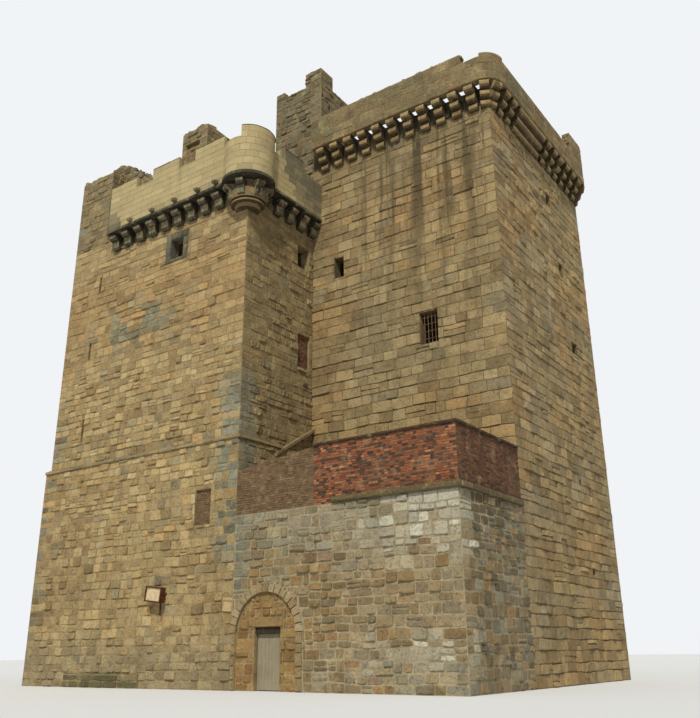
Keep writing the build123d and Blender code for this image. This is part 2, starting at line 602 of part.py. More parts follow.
def tower_parapets():
    """The tower's parapet, with what is left of its merlons as separate blocks."""
    z0, z1 = TOWER_TOP, TOWER_PARAPET_TOP
    z2 = z1 + TOWER_MERLON_HEIGHT
    z3 = z1 + REAR_MERLON_HEIGHT
    corner_top = z1 + CORNER_MERLON_HEIGHT
    corner_x = TOWER_WIDTH + TOWER_P_OUT - TOWER_CORNER_RADIUS
    front_y = STEP_BACK - TOWER_P_OUT + TOWER_CORNER_RADIUS
    far = TOWER_WIDTH * 2
    left_out = PARTY_X - TOWER_P_OUT
    ring = tower_ring(TOWER_P_IN, TOWER_P_OUT, z0, z1)
    ring -= block(-far, PARAPET_START, -far, STEP_BACK + CAP_DEPTH, z0, z1)
    end_y = STEP_BACK - TOWER_P_OUT
    ring += block(PARAPET_START, PARAPET_START + TOWER_PARAPET_WALL, end_y, STEP_BACK, z0, z1)
    parts["tower_parapet"] = ring
    low = tower_ring(TOWER_P_IN, TOWER_P_OUT, z1, z2)
    tall = tower_ring(TOWER_P_IN, TOWER_P_OUT, z1, z3)
    merlons = [low & block(PARAPET_START, FRONT_MERLON_END, -far, front_y, z1, z2),
               low & block(CORNER_MERLON_START, far, -far, front_y, z1, corner_top),
               tall & block(corner_x, far, REAR_MERLON_START, far * 2, z1, z3)]
    pitch = HIDDEN_MERLON + HIDDEN_GAP
    for x in spread(left_out + pitch / 2, TOWER_WIDTH - pitch, pitch):
        merlons.append(low & block(x - HIDDEN_MERLON / 2, x + HIDDEN_MERLON / 2, REAR, far * 2, z1, z2))
    for y in spread(STEP_BACK + CAP_DEPTH + pitch / 2, REAR - pitch / 2, pitch):
        merlons.append(low & block(-far, PARTY_X, y - HIDDEN_MERLON / 2, y + HIDDEN_MERLON / 2, z1, z2))
    parts["tower_merlons"] = Compound([solid for merlon in merlons for solid in merlon.solids()])


def string_course():
    """The string course at the hall's set-off and the old roof line on its return."""
    half = STRING_HEIGHT / 2
    z0, z1 = STRING_Z - half, STRING_Z + half
    right = SET_OFF + STRING_PROJECTION
    lap = STRING_Z + STRING_LAP
    lower = block(HALL_LEFT - SET_OFF, right, LOW_FRONT - STRING_PROJECTION, LOW_FRONT, z0, lap)
    lower += block(SET_OFF, right, LOW_FRONT, STRING_RETURN_END, z0, lap)
    upper = block(HALL_LEFT, SET_OFF, LOW_FRONT, 0, STRING_Z, z1)
    upper += block(0, SET_OFF, 0, STRING_RETURN_END, STRING_Z, z1)
    parts["hall_string_course"] = lower + upper
    low_y, low_z = RAGGLE_LOW
    high_y, high_z = RAGGLE_HIGH
    band = [RAGGLE_LOW, RAGGLE_HIGH, (high_y, high_z + RAGGLE_WIDTH), (low_y, low_z + RAGGLE_WIDTH)]
    raggle = prism_yz(band, 0, SET_OFF + RAGGLE_PROJECTION)
    raggle -= block(0, SET_OFF, 0, STEP_BACK, 0, STRING_Z)
    raggle -= block(0, right, 0, STRING_RETURN_END, z0, z1)
    parts["roof_raggle"] = raggle.solids().sort_by(Axis.Y)[-1]


def hall_fittings():
    """Window surround, blocked windows, plinth and the iron lamp frame."""
    x, sill, width, height = HALL_WINDOW
    x0, x1 = x - width / 2, x + width / 2
    frame = block(x0 - SURROUND_SIDE, x1 + SURROUND_SIDE, -SURROUND_PROUD, SURROUND_DEPTH,
                  sill - SURROUND_SILL, sill + height + SURROUND_HEAD)
    frame -= block(x0, x1, -SURROUND_PROUD, SURROUND_DEPTH, sill, sill + height)
    parts["window_surround"] = frame

    x, sill, width, height = BLOCKED_WINDOW
    front = block(x - width / 2, x + width / 2, LOW_FRONT + BLOCKING_RECESS, LOW_FRONT + BLOCKING_THICKNESS,
                  sill, sill + height)
    y, sill, width, height = RETURN_BLOCKED_WINDOW
    side = block(-BLOCKING_THICKNESS, -BLOCKING_RECESS, y - width / 2, y + width / 2, sill, sill + height)
    parts["window_blockings"] = Compound([front, side])

    out = LOW_FRONT - PLINTH_PROJECTION
    parts["base_plinth"] = block(PLINTH_START, PLINTH_END, out, LOW_FRONT, 0, PLINTH_HEIGHT)

    face = -LAMP_ARM
    x0, x1 = -LAMP_WIDTH / 2, LAMP_WIDTH / 2
    z0, z1 = -LAMP_HEIGHT / 2, LAMP_HEIGHT / 2
    lamp = block(x0, x1, face - LAMP_DEPTH, face, z0, z1)
    lamp -= block(x0 + LAMP_BAR, x1 - LAMP_BAR, face - LAMP_DEPTH, face - LAMP_DEPTH / 2, z0 + LAMP_BAR,
                  z1 - LAMP_BAR)
    lamp = Rot(0, LAMP_TILT, 0) * lamp
    lamp += block(-LAMP_BAR, LAMP_BAR, face, 0, -LAMP_BAR, LAMP_BAR)
    stem_x = x1 - LAMP_STEM_INSET
    lamp += block(stem_x, stem_x + LAMP_BAR, face - LAMP_BAR, face, z0 - LAMP_STEM_HEIGHT, 0)
    parts["lamp_frame"] = Pos(LAMP_X, LOW_FRONT, LAMP_Z) * lamp


def round_bore(radius):
    """A cylinder through the porch's front wall about the arch's centre."""
    turned = Rot(-90, 0, 0) * Cylinder(radius, PORCH_WALL, align=(Align.CENTER, Align.CENTER, Align.MIN))
    return Pos(ARCH_X, PORCH_FRONT, ARCH_SPRING) * turned


def porch():
    """The porch's stone walls, brick upper walls, string, coping and deck."""
    arch = prism_xz([(ARCH_X - ARCH_OUTER, 0), (ARCH_X + ARCH_OUTER, 0), (ARCH_X + ARCH_OUTER, ARCH_SPRING),
                     (ARCH_X - ARCH_OUTER, ARCH_SPRING)], PORCH_FRONT, PORCH_INNER)
    arch += round_bore(ARCH_OUTER)
    front = block(SET_OFF, TOWER_WIDTH, PORCH_FRONT, PORCH_INNER, 0, PORCH_TOP)
    arch &= front
    over_door = block(SET_OFF, ARCH_X * 2, PORCH_FRONT, PORCH_INNER, ARCH_SPRING, PORCH_TOP)
    parts["porch_wall_over_door"] = over_door - arch
    parts["porch_front_wall"] = front - arch - over_door
    inner_x = TOWER_WIDTH - PORCH_WALL
    parts["porch_right_wall"] = block(inner_x, TOWER_WIDTH, PORCH_INNER, STEP_BACK, 0, PORCH_TOP)

    hollow = block(ARCH_X - ARCH_INNER, ARCH_X + ARCH_INNER, PORCH_FRONT, PORCH_INNER, 0, ARCH_SPRING)
    hollow += round_bore(ARCH_INNER)
    split = ARCH_SPRING + ARCH_OUTER
    parts["door_arch"] = arch - hollow

    y0 = PORCH_FRONT + INFILL_RECESS
    y1 = y0 + INFILL_THICKNESS
    door_right = DOOR_LEFT + DOOR_WIDTH
    infill = hollow & block(0, ARCH_X * 2, y0, y1, 0, split)
    parts["door_tympanum"] = infill & block(0, ARCH_X * 2, y0, y1, DOOR_HEAD, split)
    sides = [infill & block(0, DOOR_LEFT, y0, y1, 0, DOOR_HEAD),
             infill & block(door_right, split, y0, y1, 0, DOOR_HEAD)]
    parts["door_jambs"] = Compound([solid for side in sides for solid in side.solids()])
    lintel_z = DOOR_HEAD - LINTEL_HEIGHT
    lintel_y = y1 - LEAF_THICKNESS * 2
    parts["door_lintel"] = block(DOOR_LEFT, door_right, lintel_y, y1, lintel_z, DOOR_HEAD)

    z0 = PORCH_TOP
    z1 = PORCH_TOP + PORCH_STRING_HEIGHT
    out = PORCH_STRING_PROJECTION
    x1, y1 = TOWER_WIDTH, PORCH_FRONT + BRICK_WALL
    string = block(PORCH_STRING_START, x1 + out, PORCH_FRONT - out, y1, z0, z1)
    string += block(x1 - BRICK_WALL, x1 + out, PORCH_FRONT - out, STEP_BACK, z0, z1)
    parts["porch_string_course"] = string

    red = block(BRICK_JOINT_X, x1, PORCH_FRONT, y1, z1, BRICK_TOP)
    red += block(x1 - BRICK_WALL, x1, y1, STEP_BACK, z1, BRICK_TOP)
    red += block(BRICK_JOINT_X, PORCH_STRING_START, PORCH_FRONT, y1, z0, z1)
    parts["red_brick_wall"] = red
    brown = [(SET_OFF, z0), (BRICK_JOINT_X, z0), (BRICK_JOINT_X, BRICK_TOP), (SET_OFF, BRICK_LOW_TOP)]
    parts["brown_brick_wall"] = prism_xz(brown, PORCH_FRONT, y1)
    coping_top = BRICK_TOP + COPING_HEIGHT
    coping = block(BRICK_JOINT_X, x1 + COPING_LIP, PORCH_FRONT - COPING_LIP, y1, BRICK_TOP, coping_top)
    coping += block(x1 - BRICK_WALL, x1 + COPING_LIP, y1, STEP_BACK, BRICK_TOP, coping_top)
    parts["porch_coping"] = coping
    parts["porch_deck"] = block(SET_OFF, inner_x, PORCH_INNER, STEP_BACK, z0 - DECK_THICKNESS, z0)


def door():
    """The plank door leaf with eyes that turn on two fixed pins."""
    back = PORCH_FRONT + INFILL_RECESS + INFILL_THICKNESS
    y0 = back + DOOR_GAP
    y1 = y0 + LEAF_THICKNESS
    pin_x = DOOR_LEFT - HINGE_SET
    pin_y = (y0 + y1) / 2
    bore = HINGE_PIN_RADIUS + HINGE_RUNNING_GAP
    leaf = block(DOOR_LEFT - LEAF_LAP / 2, DOOR_LEFT + DOOR_WIDTH + LEAF_LAP, y0, y1, LEAF_LIFT,
                 LEAF_LIFT + LEAF_HEIGHT)
    pins = []
    for z in HINGE_HEIGHTS:
        top = z + HINGE_EYE_HEIGHT
        leaf += upright_cylinder(pin_x, pin_y, HINGE_EYE_RADIUS, z, top)
        leaf += block(pin_x, DOOR_LEFT, pin_y - HINGE_PIN_RADIUS, pin_y + HINGE_PIN_RADIUS, z, top)
        leaf -= upright_cylinder(pin_x, pin_y, bore, z, top)
        pin = upright_cylinder(pin_x, pin_y, HINGE_PIN_RADIUS, z - HINGE_PIN_REST, top)
        foot = z - HINGE_EYE_LIFT
        pin += block(pin_x - HINGE_EYE_RADIUS, pin_x + HINGE_PIN_RADIUS, back, pin_y + HINGE_PIN_RADIUS,
                     foot - HINGE_PIN_REST, foot)
        pins.append(pin)
    parts["door_leaf"] = leaf
    parts["hinge_pins"] = Compound(pins)
    return pin_x, pin_y


hall_walls()
tower_walls()
floors()
hall_corbels()
turret()
hall_parapets()
roof_stubs()
tower_corbels()
tower_parapets()
string_course()
hall_fittings()
porch()
hinge = door()

# The origin is moved to the middle of the whole building's footprint, at ground level
reach = HALL_P_OUT + COURSE_LIP
middle_x = (HALL_LEFT - reach + TOWER_WIDTH + TOWER_P_OUT) / 2
middle_y = (TURRET_Y - TURRET_RADIUS - COURSE_LIP + REAR + TOWER_P_OUT) / 2

os.makedirs("parts", exist_ok=True)
for name, shape in parts.items():
    export_step(Pos(-middle_x, -middle_y, 0) * shape, f"parts/{name}.step")
print("plan zero in the row frame", -middle_x, -middle_y)
print("hinge", hinge[0] - middle_x, hinge[1] - middle_y)
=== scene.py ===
import bpy
import math
import random
from mathutils import Matrix, Vector, noise


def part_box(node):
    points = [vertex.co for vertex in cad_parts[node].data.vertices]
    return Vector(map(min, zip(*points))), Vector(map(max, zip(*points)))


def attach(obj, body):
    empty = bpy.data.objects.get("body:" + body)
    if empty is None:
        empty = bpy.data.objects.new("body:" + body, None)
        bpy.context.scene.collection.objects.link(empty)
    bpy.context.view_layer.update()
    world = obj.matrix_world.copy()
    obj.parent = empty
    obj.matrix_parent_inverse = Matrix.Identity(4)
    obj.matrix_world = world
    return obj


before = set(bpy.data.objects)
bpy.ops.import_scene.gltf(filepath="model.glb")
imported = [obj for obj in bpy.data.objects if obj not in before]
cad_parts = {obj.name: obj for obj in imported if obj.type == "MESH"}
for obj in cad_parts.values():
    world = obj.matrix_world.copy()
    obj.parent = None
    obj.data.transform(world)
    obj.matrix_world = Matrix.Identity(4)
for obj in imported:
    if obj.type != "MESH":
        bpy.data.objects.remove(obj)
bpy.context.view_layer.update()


# Places, in metres. Plan zero is the hall's front right corner at ground level, as in the part's source.

SET_OFF = 0.12
PLAN_ZERO = Vector((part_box("tower_front_wall")[0].x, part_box("hall_front_wall")[0].y + SET_OFF, 0.0))


def plan_box(name):
    """A node's lowest and highest corners, measured from plan zero."""
    low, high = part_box(name)
    return low - PLAN_ZERO, high - PLAN_ZERO


hall_low, hall_high = plan_box("hall_front_wall")
tower_low, tower_high = plan_box("tower_front_wall")
string_low, string_high = plan_box("hall_string_course")
parapet_low, parapet_high = plan_box("hall_parapet")
turret_low, turret_high = plan_box("hall_turret")
ring_high = plan_box("tower_parapet")[1]
cap_low, cap_high = plan_box("cap_house")
gable_high = plan_box("hall_gable_stub")[1]
garret_low, garret_high = plan_box("garret_stub")
red_low, red_high = plan_box("red_brick_wall")
roll_low, roll_high = plan_box("porch_string_course")
coping_low, coping_high = plan_box("porch_coping")
plinth_low, plinth_high = plan_box("base_plinth")
surround_low, surround_high = plan_box("window_surround")
leaf_low, leaf_high = plan_box("door_leaf")

STEP_BACK = tower_low.y
REAR = plan_box("tower_rear_wall")[1].y
HALL_LEFT = hall_low.x + SET_OFF
TOWER_RIGHT = tower_high.x
PARTY_X = plan_box("party_wall")[0].x
CORBEL_FOOT = plan_box("tower_corbels")[0].z
LOW_FRONT = hall_low.y
LOW_LEFT, LOW_BACK = HALL_LEFT - SET_OFF, REAR + SET_OFF
STRING_Z = (string_low.z + string_high.z) / 2
HALL_TOP = hall_high.z
COURSE_FOOT = plan_box("hall_course")[0].z
COURSE_LEDGE = 0.05
LARGER_STONES = 11.8
HALL_PARAPET_WALL, TOWER_PARAPET_WALL = 0.40, 0.33
HALL_SILL = parapet_high.z
HALL_CROWN = plan_box("hall_merlons")[1].z
HALL_OUT = -parapet_low.y
HALL_IN = HALL_OUT - HALL_PARAPET_WALL
PARAPET_START = parapet_low.x
FRONT_MERLONS = ((-7.50, -5.92), (-4.93, -3.39), (-2.48, -0.92))
RETURN_MERLON = (1.55, 2.75)
HIDDEN_HALF, HIDDEN_PITCH = 0.85, 2.65
TURRET = (-0.13, 0.15)
TURRET_R = TURRET[1] - turret_low.y
TURRET_CROWN = turret_high.z
TURRET_SILL = TURRET_CROWN - 0.50
TURRET_MERLON = (-68, 50)
TOWER_TOP = tower_high.z
TOWER_SILL = ring_high.z
TOWER_CROWN = TOWER_SILL + 0.43
CORNER_CROWN = TOWER_SILL + 0.15
REAR_CROWN = plan_box("tower_merlons")[1].z
TOWER_OUT = ring_high.x - TOWER_RIGHT
TOWER_IN = TOWER_OUT - TOWER_PARAPET_WALL
CORNER_R = 0.8
RING_START, FRONT_END, CORNER_START, REAR_START = 0.30, 7.37, 8.15, 11.40
PORCH_TOP = plan_box("porch_front_wall")[1].z
BRICK_JOINT = red_low.x
BRICK_FOOT = roll_high.z
BRICK_TOP = red_high.z
BRICK_LOW = 6.72
BRICK_WALL = 0.36
BLOCKED_RECESS = 0.09
BRICK_IN_X, BRICK_IN_Y = TOWER_RIGHT - BRICK_WALL, LOW_FRONT + BRICK_WALL
CAP_LEFT, CAP_RIGHT, CAP_BACK = cap_low.x, cap_high.x, cap_high.y
CAP_CROWN = cap_high.z
CAP_TOP = CAP_CROWN - 0.71
CAP_STEP = CAP_RIGHT - 0.85
CAP_WALL, CAP_HIGH_DEPTH, CAP_LEFT_RISE = 0.45, 0.88, 0.30
STACK_RIGHT = HALL_LEFT + 2.0
STACK_BACK = 0.9
STACK_TOP = HALL_TOP + 3.44
GABLE_BACK = gable_high.y
GABLE_LONG = 4.30
GABLE_RIGHT = HALL_LEFT + GABLE_LONG
GABLE_SKYLINE = ((0, 3.66), (0.43, 4.25), (1.16, 4.48), (1.72, 4.34), (2.36, 3.85), (3.48, 2.96), (4.08, 1.70),
                 (GABLE_LONG, 0.0))
ARCH_X = 1.46
ARCH_SPRING = 1.64
ARCH_OUTER = 1.43
ARCH_INNER = 1.18
VOUSSOIRS = 17
DOOR_LEFT, DOOR_RIGHT, DOOR_HEAD = 1.00, 2.02, 1.80
INFILL_FACE = LOW_FRONT + 0.06

# Below or above any wall, for holes that run off its edge
UNDER, FAR = -1.0, 9.0


# Small helpers


def linear(colour):
    """A display colour as linear light."""
    return tuple(c / 12.92 if c <= 0.04045 else ((c + 0.055) / 1.055) ** 2.4 for c in colour)


def mix(a, b, t):
    return tuple(x + (y - x) * t for x, y in zip(a, b))


def clamp(x, low=0.0, high=1.0):
    return max(low, min(high, x))


def smooth(edge0, edge1, x):
    """Goes softly from 0 at edge0 to 1 at edge1, whichever is the higher."""
    t = clamp((x - edge0) / (edge1 - edge0))
    return t * t * (3 - 2 * t)


def spot(x, y, middle_x, middle_y, reach_x, reach_y):
    """A soft round patch: 1 in its middle, falling to 0 outside its reach."""
    return math.exp(-(((x - middle_x) / reach_x) ** 2 + ((y - middle_y) / reach_y) ** 2))


def spread(first, last, pitch):
    """Evenly spaced places from first to last, as near to the pitch as fits."""
    count = max(1, round((last - first) / pitch))
    return [first + (last - first) * i / count for i in range(count + 1)]


def pairs(marks):
    return zip(marks, marks[1:])


def tube(count, rings, base=0):
    """Faces between rings of so many points each, one ring after another."""
    return [(a + i, a + (i + 1) % count, a + count + (i + 1) % count, a + count + i)
            for a in range(base, base + (rings - 1) * count, count) for i in range(count)]


def closed_tube(count, rings):
    last = (rings - 1) * count
    return tube(count, rings) + [tuple(range(count))[::-1], tuple(range(last, last + count))]


# Surfaces that stones are laid on: u runs along them, v across and w away from them


class Walk:
    """An upright wall along a way in plan, with the open side on its right. Parts are lines (x0, y0, x1, y1) and
    arcs (centre x, centre y, radius, first angle, last angle)."""

    def __init__(self, *parts):
        self.parts = []
        self.length = 0.0
        for part in parts:
            if len(part) == 4:
                length = math.hypot(part[2] - part[0], part[3] - part[1])
            else:
                length = part[2] * abs(math.radians(part[4] - part[3]))
            self.parts.append((self.length, length, part))
            self.length += length

    def part_at(self, u):
        for start, length, part in self.parts:
            if u <= start + length + 1e-9:
                return start, length, part
        return self.parts[-1]

    def curved(self, u):
        return len(self.part_at(u)[2]) == 5

    def point(self, u, v, w):
        start, length, part = self.part_at(u)
        t = (u - start) / length
        if len(part) == 4:
            x0, y0, x1, y1 = part
            nx, ny = (y1 - y0) / length, -(x1 - x0) / length
            x, y = x0 + (x1 - x0) * t, y0 + (y1 - y0) * t
        else:
            cx, cy, r, a0, a1 = part
            a = math.radians(a0 + (a1 - a0) * t)
            nx, ny = math.cos(a), math.sin(a)
            x, y = cx + r * nx, cy + r * ny
        return Vector((x + nx * w, y + ny * w, v))


def legs(*xy):
    """Straight parts of a walk through points, given as x, y, x, y and so on."""
    points = list(zip(xy[::2], xy[1::2]))
    return [a + b for a, b in pairs(points)]


def line(*xy):
    return Walk(*legs(*xy))


class Deck:
    """A level surface at one height, with u along X and v along Y."""

    def __init__(self, z):
        self.z = z

    def curved(self, u):
        return False

    def point(self, u, v, w):
        return Vector((u, v, self.z + w))


class Slope(Deck):
    """A sloping top between two points in the XZ plane: u runs up or down it, v along Y."""

    def __init__(self, x0, z0, x1, z1):
        self.length = math.hypot(x1 - x0, z1 - z0)
        self.start = (x0, z0)
        self.run = ((x1 - x0) / self.length, (z1 - z0) / self.length)

    def point(self, u, v, w):
        (x0, z0), (dx, dz) = self.start, self.run
        return Vector((x0 + dx * u - dz * w, v, z0 + dz * u + dx * w))


# Laying stones in courses. A place for stones is a rectangle (u0, u1, v0, v1) of a surface, and so is a hole.


def cut(rect, holes):
    """What is left of a rectangle outside all the holes."""
    left = [rect]
    for h0, h1, g0, g1 in holes:
        kept = []
        for u0, u1, v0, v1 in left:
            if h1 <= u0 or h0 >= u1 or g1 <= v0 or g0 >= v1:
                kept.append((u0, u1, v0, v1))
                continue
            m0, m1 = max(u0, h0), min(u1, h1)
            sides = ((u0, h0, v0, v1), (h1, u1, v0, v1), (m0, m1, v0, g0), (m0, m1, g1, v1))
            kept += [side for side in sides if side[1] > side[0] and side[3] > side[2]]
        left = kept
    return left


LAST_OVERHANG = 0.6  # a last piece that would stick out by more than this share of itself is left off
WAVER_ROOM = 0.35  # how far from an edge courses waver in full


def split(a, b, low, high, rng):
    """Cuts a length from a to b into random pieces between low and high, fitted to the whole."""
    sizes = []
    total = 0.0
    while total < b - a:
        sizes.append(rng.uniform(low, high))
        total += sizes[-1]
    if len(sizes) > 1 and total - (b - a) > sizes[-1] * LAST_OVERHANG:
        total -= sizes.pop()
    scale = (b - a) / total
    marks = [a]
    for size in sizes:
        marks.append(marks[-1] + size * scale)
    return marks


def waver(area, holes, amount, seed):
    """Makes courses run a little up and down, but not at a wall's edges or round its holes."""
    u0, u1, v0, v1 = area

    def warp(u, v):
        room = min(u - u0, u1 - u, v - v0, v1 - v)
        for h0, h1, g0, g1 in holes:
            room = min(room, max(h0 - u, u - h1, g0 - v, v - g1))
        k = amount * smooth(0.0, WAVER_ROOM, room)
        if k <= 0:
            return u, v
        return (u + k * noise.noise(Vector((u * 1.7, v * 1.7, seed))),
                v + k * noise.noise(Vector((u * 0.9, v * 1.4, seed + 9.0))))

    return warp


EMBED = -0.004  # the foot of a stone, just inside the wall
CURVE_STEP = 0.12  # the longest straight bit of a stone on a curve
CORNER_RELIEF = 0.3  # how far the corner stones stand off, as a share of what the others do
CORNER_SHARE = 0.4  # the most of a wall's length that one corner stone takes
LEAST_WIDE, LEAST_HIGH = 0.05, 0.04
ROUGH_SHARE, EDGE_SHARE = 0.14, 0.3  # the most of a stone's width or height that its outline and its shoulder take
CORNER_WEAR, TILT = 0.8, 0.3  # how far a stone's corners draw in, as a share of its roughness, and its face's lean
HALVES = (0.4, 0.6)  # where a stone is cut into two lower ones
BOTH, START, END = (1, 1), (1, 0), (0, 1)  # the ends of a wall that have corner stones


class Stones:
    """Many stones as one mesh, each with its own colour. They follow the piece's look and hue if no other is given."""

    pieces = []

    def __init__(self, name, material, slot, look=None, hue=None, rng=None, body="building"):
        self.name, self.material, self.slot, self.body = name, material, slot, body
        self.look, self.hue, self.rng = look, hue, rng
        self.verts, self.faces, self.colours = [], [], []
        self.pieces.append(self)

    def colour_new(self, base, colour, seed):
        self.colours += [linear(colour) + (seed,)] * (len(self.verts) - base)

    def stone(self, surface, rect, relief, colour, look, warp=None):
        """One stone on a surface: an uneven outline, a worn shoulder and a face that stands off the wall."""
        rng = self.rng
        u0, u1, v0, v1 = rect
        wide, high = u1 - u0, v1 - v0
        middle_u, middle_v = (u0 + u1) / 2, (v0 + v1) / 2
        rough = min(look["rough"], wide * ROUGH_SHARE, high * ROUGH_SHARE)
        edge = min(look["edge"], wide * EDGE_SHARE, high * EDGE_SHARE)
        columns = max(2, round(wide / CURVE_STEP)) if surface.curved(middle_u) else look["columns"]
        tilt_u, tilt_v = (rng.uniform(-1, 1) * relief * TILT for _ in range(2))
        low, top = [], []
        for i in range(columns + 1):
            t = i / columns
            end = i in (0, columns)
            corner = rough * CORNER_WEAR if end else 0.0
            for side, v, up in ((low, v0, 1), (top, v1, -1)):
                inward = rng.uniform(0, rough) * (1 if i == 0 else -1) if end else rng.uniform(-rough, rough)
                side.append((u0 + wide * t + inward, v + up * rng.uniform(0, rough) + up * corner))
        outline = low + top[::-1]
        count, rings, base = len(outline), look["rings"], len(self.verts)
        for inset, rise in rings:
            for u, v in outline:
                a = clamp((u - middle_u) / wide * 2, -1, 1)
                b = clamp((v - middle_v) / high * 2, -1, 1)
                pu, pv = u - a * edge * inset, v - b * edge * inset
                if warp:
                    pu, pv = warp(pu, pv)
                w = relief * rise + (tilt_u * a + tilt_v * b) * rise
                if (inset, rise) == rings[-1]:
                    w += rng.uniform(-1, 1) * relief * look["uneven"]
                self.verts.append(surface.point(pu, pv, w if rise else EMBED))
        self.faces += tube(count, len(rings), base)
        face = base + (len(rings) - 1) * count
        self.faces += [(face + i, face + i + 1, face + count - 2 - i, face + count - 1 - i) for i in range(columns)]
        self.colour_new(base, colour, rng.random())

    def slab(self, surface, points, relief, chamfer, colour):
        """A stone of any outline, given as (u, v) points, anticlockwise when seen from outside."""
        base, n = len(self.verts), len(points)
        mu, mv = (sum(p[k] for p in points) / n for k in (0, 1))
        for inset, w in ((0.0, EMBED), (chamfer * 0.4, relief * 0.7), (chamfer, relief)):
            for u, v in points:
                s = max(0.4, 1 - inset / max(math.hypot(u - mu, v - mv), 1e-6))
                self.verts.append(surface.point(mu + (u - mu) * s, mv + (v - mv) * s, w))
        self.faces += tube(n, 3, base) + [tuple(base + 2 * n + i for i in range(n))]
        self.colour_new(base, colour, self.rng.random())

    def solid(self, verts, faces, colour, seed=0.5):
        """Any loose closed form, in plan coordinates."""
        base = len(self.verts)
        self.verts += [Vector(v) for v in verts]
        self.faces += [tuple(base + i for i in f) for f in faces]
        self.colour_new(base, colour, seed)

    def fit(self, surface, rect, look, hue, steady, top, warp):
        """Lays the stone that belongs in a place, unless too little room is left."""
        u0, u1, v0, v1 = rect
        middle = (u0 + u1) / 2
        if top is not None:
            v1 = min(v1, top(middle) + self.rng.uniform(-1, 1) * look["rough"])
        if u1 - u0 < LEAST_WIDE or v1 - v0 < LEAST_HIGH:
            return
        where = surface.point(middle, (v0 + v1) / 2, 0)
        j = look["joint"] / 2
        least, most = look["relief"]
        relief = least + (most - least) * steady * self.rng.random() ** look["skew"]
        self.stone(surface, (u0 + j, u1 - j, v0 + j, v1 - j), relief, hue(where, self.rng), look, warp)

    def lay(self, surface, area, look=None, hue=None, holes=(), quoins=(0, 0), parity=0, top=None):
        """Lays stones in courses over an area of a surface, in lifts and bays where the look has them."""
        look, hue, rng = look or self.look, hue or self.hue, self.rng
        u0, u1, v0, v1 = area
        warp = waver(area, holes, look["waver"], rng.random() * 50) if look["waver"] else None
        short, long = look["length"]
        corner_sizes = [min(size, (u1 - u0) * CORNER_SHARE) for size in look["quoin"]]
        lifts = split(v0, v1, *look["lift"], rng) if look["lift"] else [v0, v1]
        for lift, (foot, head) in enumerate(pairs(lifts)):
            for start, end in pairs(split(u0, u1, *look["bay"], rng) if look["bay"] else [u0, u1]):
                for row, (low, high) in enumerate(pairs(split(foot, head, *look["course"], rng))):
                    a, b, spans = start, end, []
                    turn = (row + lift + parity) % 2
                    if quoins[0] and start == u0:
                        a += corner_sizes[turn]
                        spans.append((start, a))
                    if quoins[1] and end == u1:
                        b -= corner_sizes[1 - turn]
                        spans.append((b, end))
                    corners = len(spans)
                    if b - a > short * 0.4:
                        spans += pairs(split(a, b, short, long, rng))
                    for n, (s0, s1) in enumerate(spans):
                        marks = [low, high]
                        if rng.random() < look["halved"] and high - low > look["course"][0] * 0.95:
                            marks.insert(1, low + (high - low) * rng.uniform(*HALVES))
                        for q0, q1 in pairs(marks):
                            for rect in cut((s0, s1, q0, q1), holes):
                                self.fit(surface, rect, look, hue, CORNER_RELIEF if n < corners else 1.0, top, warp)

    def wall(self, way, foot, head, look=None, hue=None, **how):
        """Lays stones along a whole walk between two heights."""
        self.lay(way, (0, way.length, foot, head), look, hue, **how)

    def deck(self, z, x0, x1, y0, y1, look=None, hue=None, **how):
        self.lay(Deck(z), (x0, x1, y0, y1), look, hue, **how)

    def dress(self, box, sides, look=None, hue=None, holes=()):
        """Lays stones on chosen sides of an upright block (x0, x1, y0, y1, z0, z1)."""
        x0, x1, y0, y1, z0, z1 = box
        ways = {"front": (x0, y0, x1, y0), "right": (x1, y0, x1, y1), "back": (x1, y1, x0, y1),
                "left": (x0, y1, x0, y0)}
        for side in sides.split():
            if side == "top":
                self.deck(z1, x0, x1, y0, y1, look, hue)
            else:
                self.wall(line(*ways[side]), z0, z1, look, hue, quoins=BOTH, holes=holes,
                          parity=side in ("right", "left"))

    def crenels(self, way, standing, sill, crown, look=None, hue=None):
        """A hall parapet with its merlons, which are (start, end) along the wall."""
        edges = [-1.0] + [u for pair in sorted(standing) for u in pair] + [way.length + 1.0]
        gaps = [(edges[i], edges[i + 1], sill, 99.0) for i in range(0, len(edges), 2)]
        self.wall(way, HALL_TOP, crown, look, hue, holes=gaps)

    def build(self):
        mesh = bpy.data.meshes.new(self.name)
        mesh.from_pydata([v + PLAN_ZERO for v in self.verts], [], self.faces)
        attribute = mesh.color_attributes.new("stone", "FLOAT_COLOR", "POINT")
        attribute.data.foreach_set("color", [x for colour in self.colours for x in colour])
        mesh.materials.append(self.material)
        mesh.validate()
        obj = bpy.data.objects.new(self.name, mesh)
        bpy.context.scene.collection.objects.link(obj)
        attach(obj, self.body)


# How each kind of walling is laid. Rings are (inset as a share of the edge, height as a share of the relief); a
# larger skew makes fewer stones stand well off the wall.

WORN = ((0.0, 0.0), (0.35, 0.72), (1.0, 1.0))
PLAIN = ((0.0, 0.0), (1.0, 1.0))

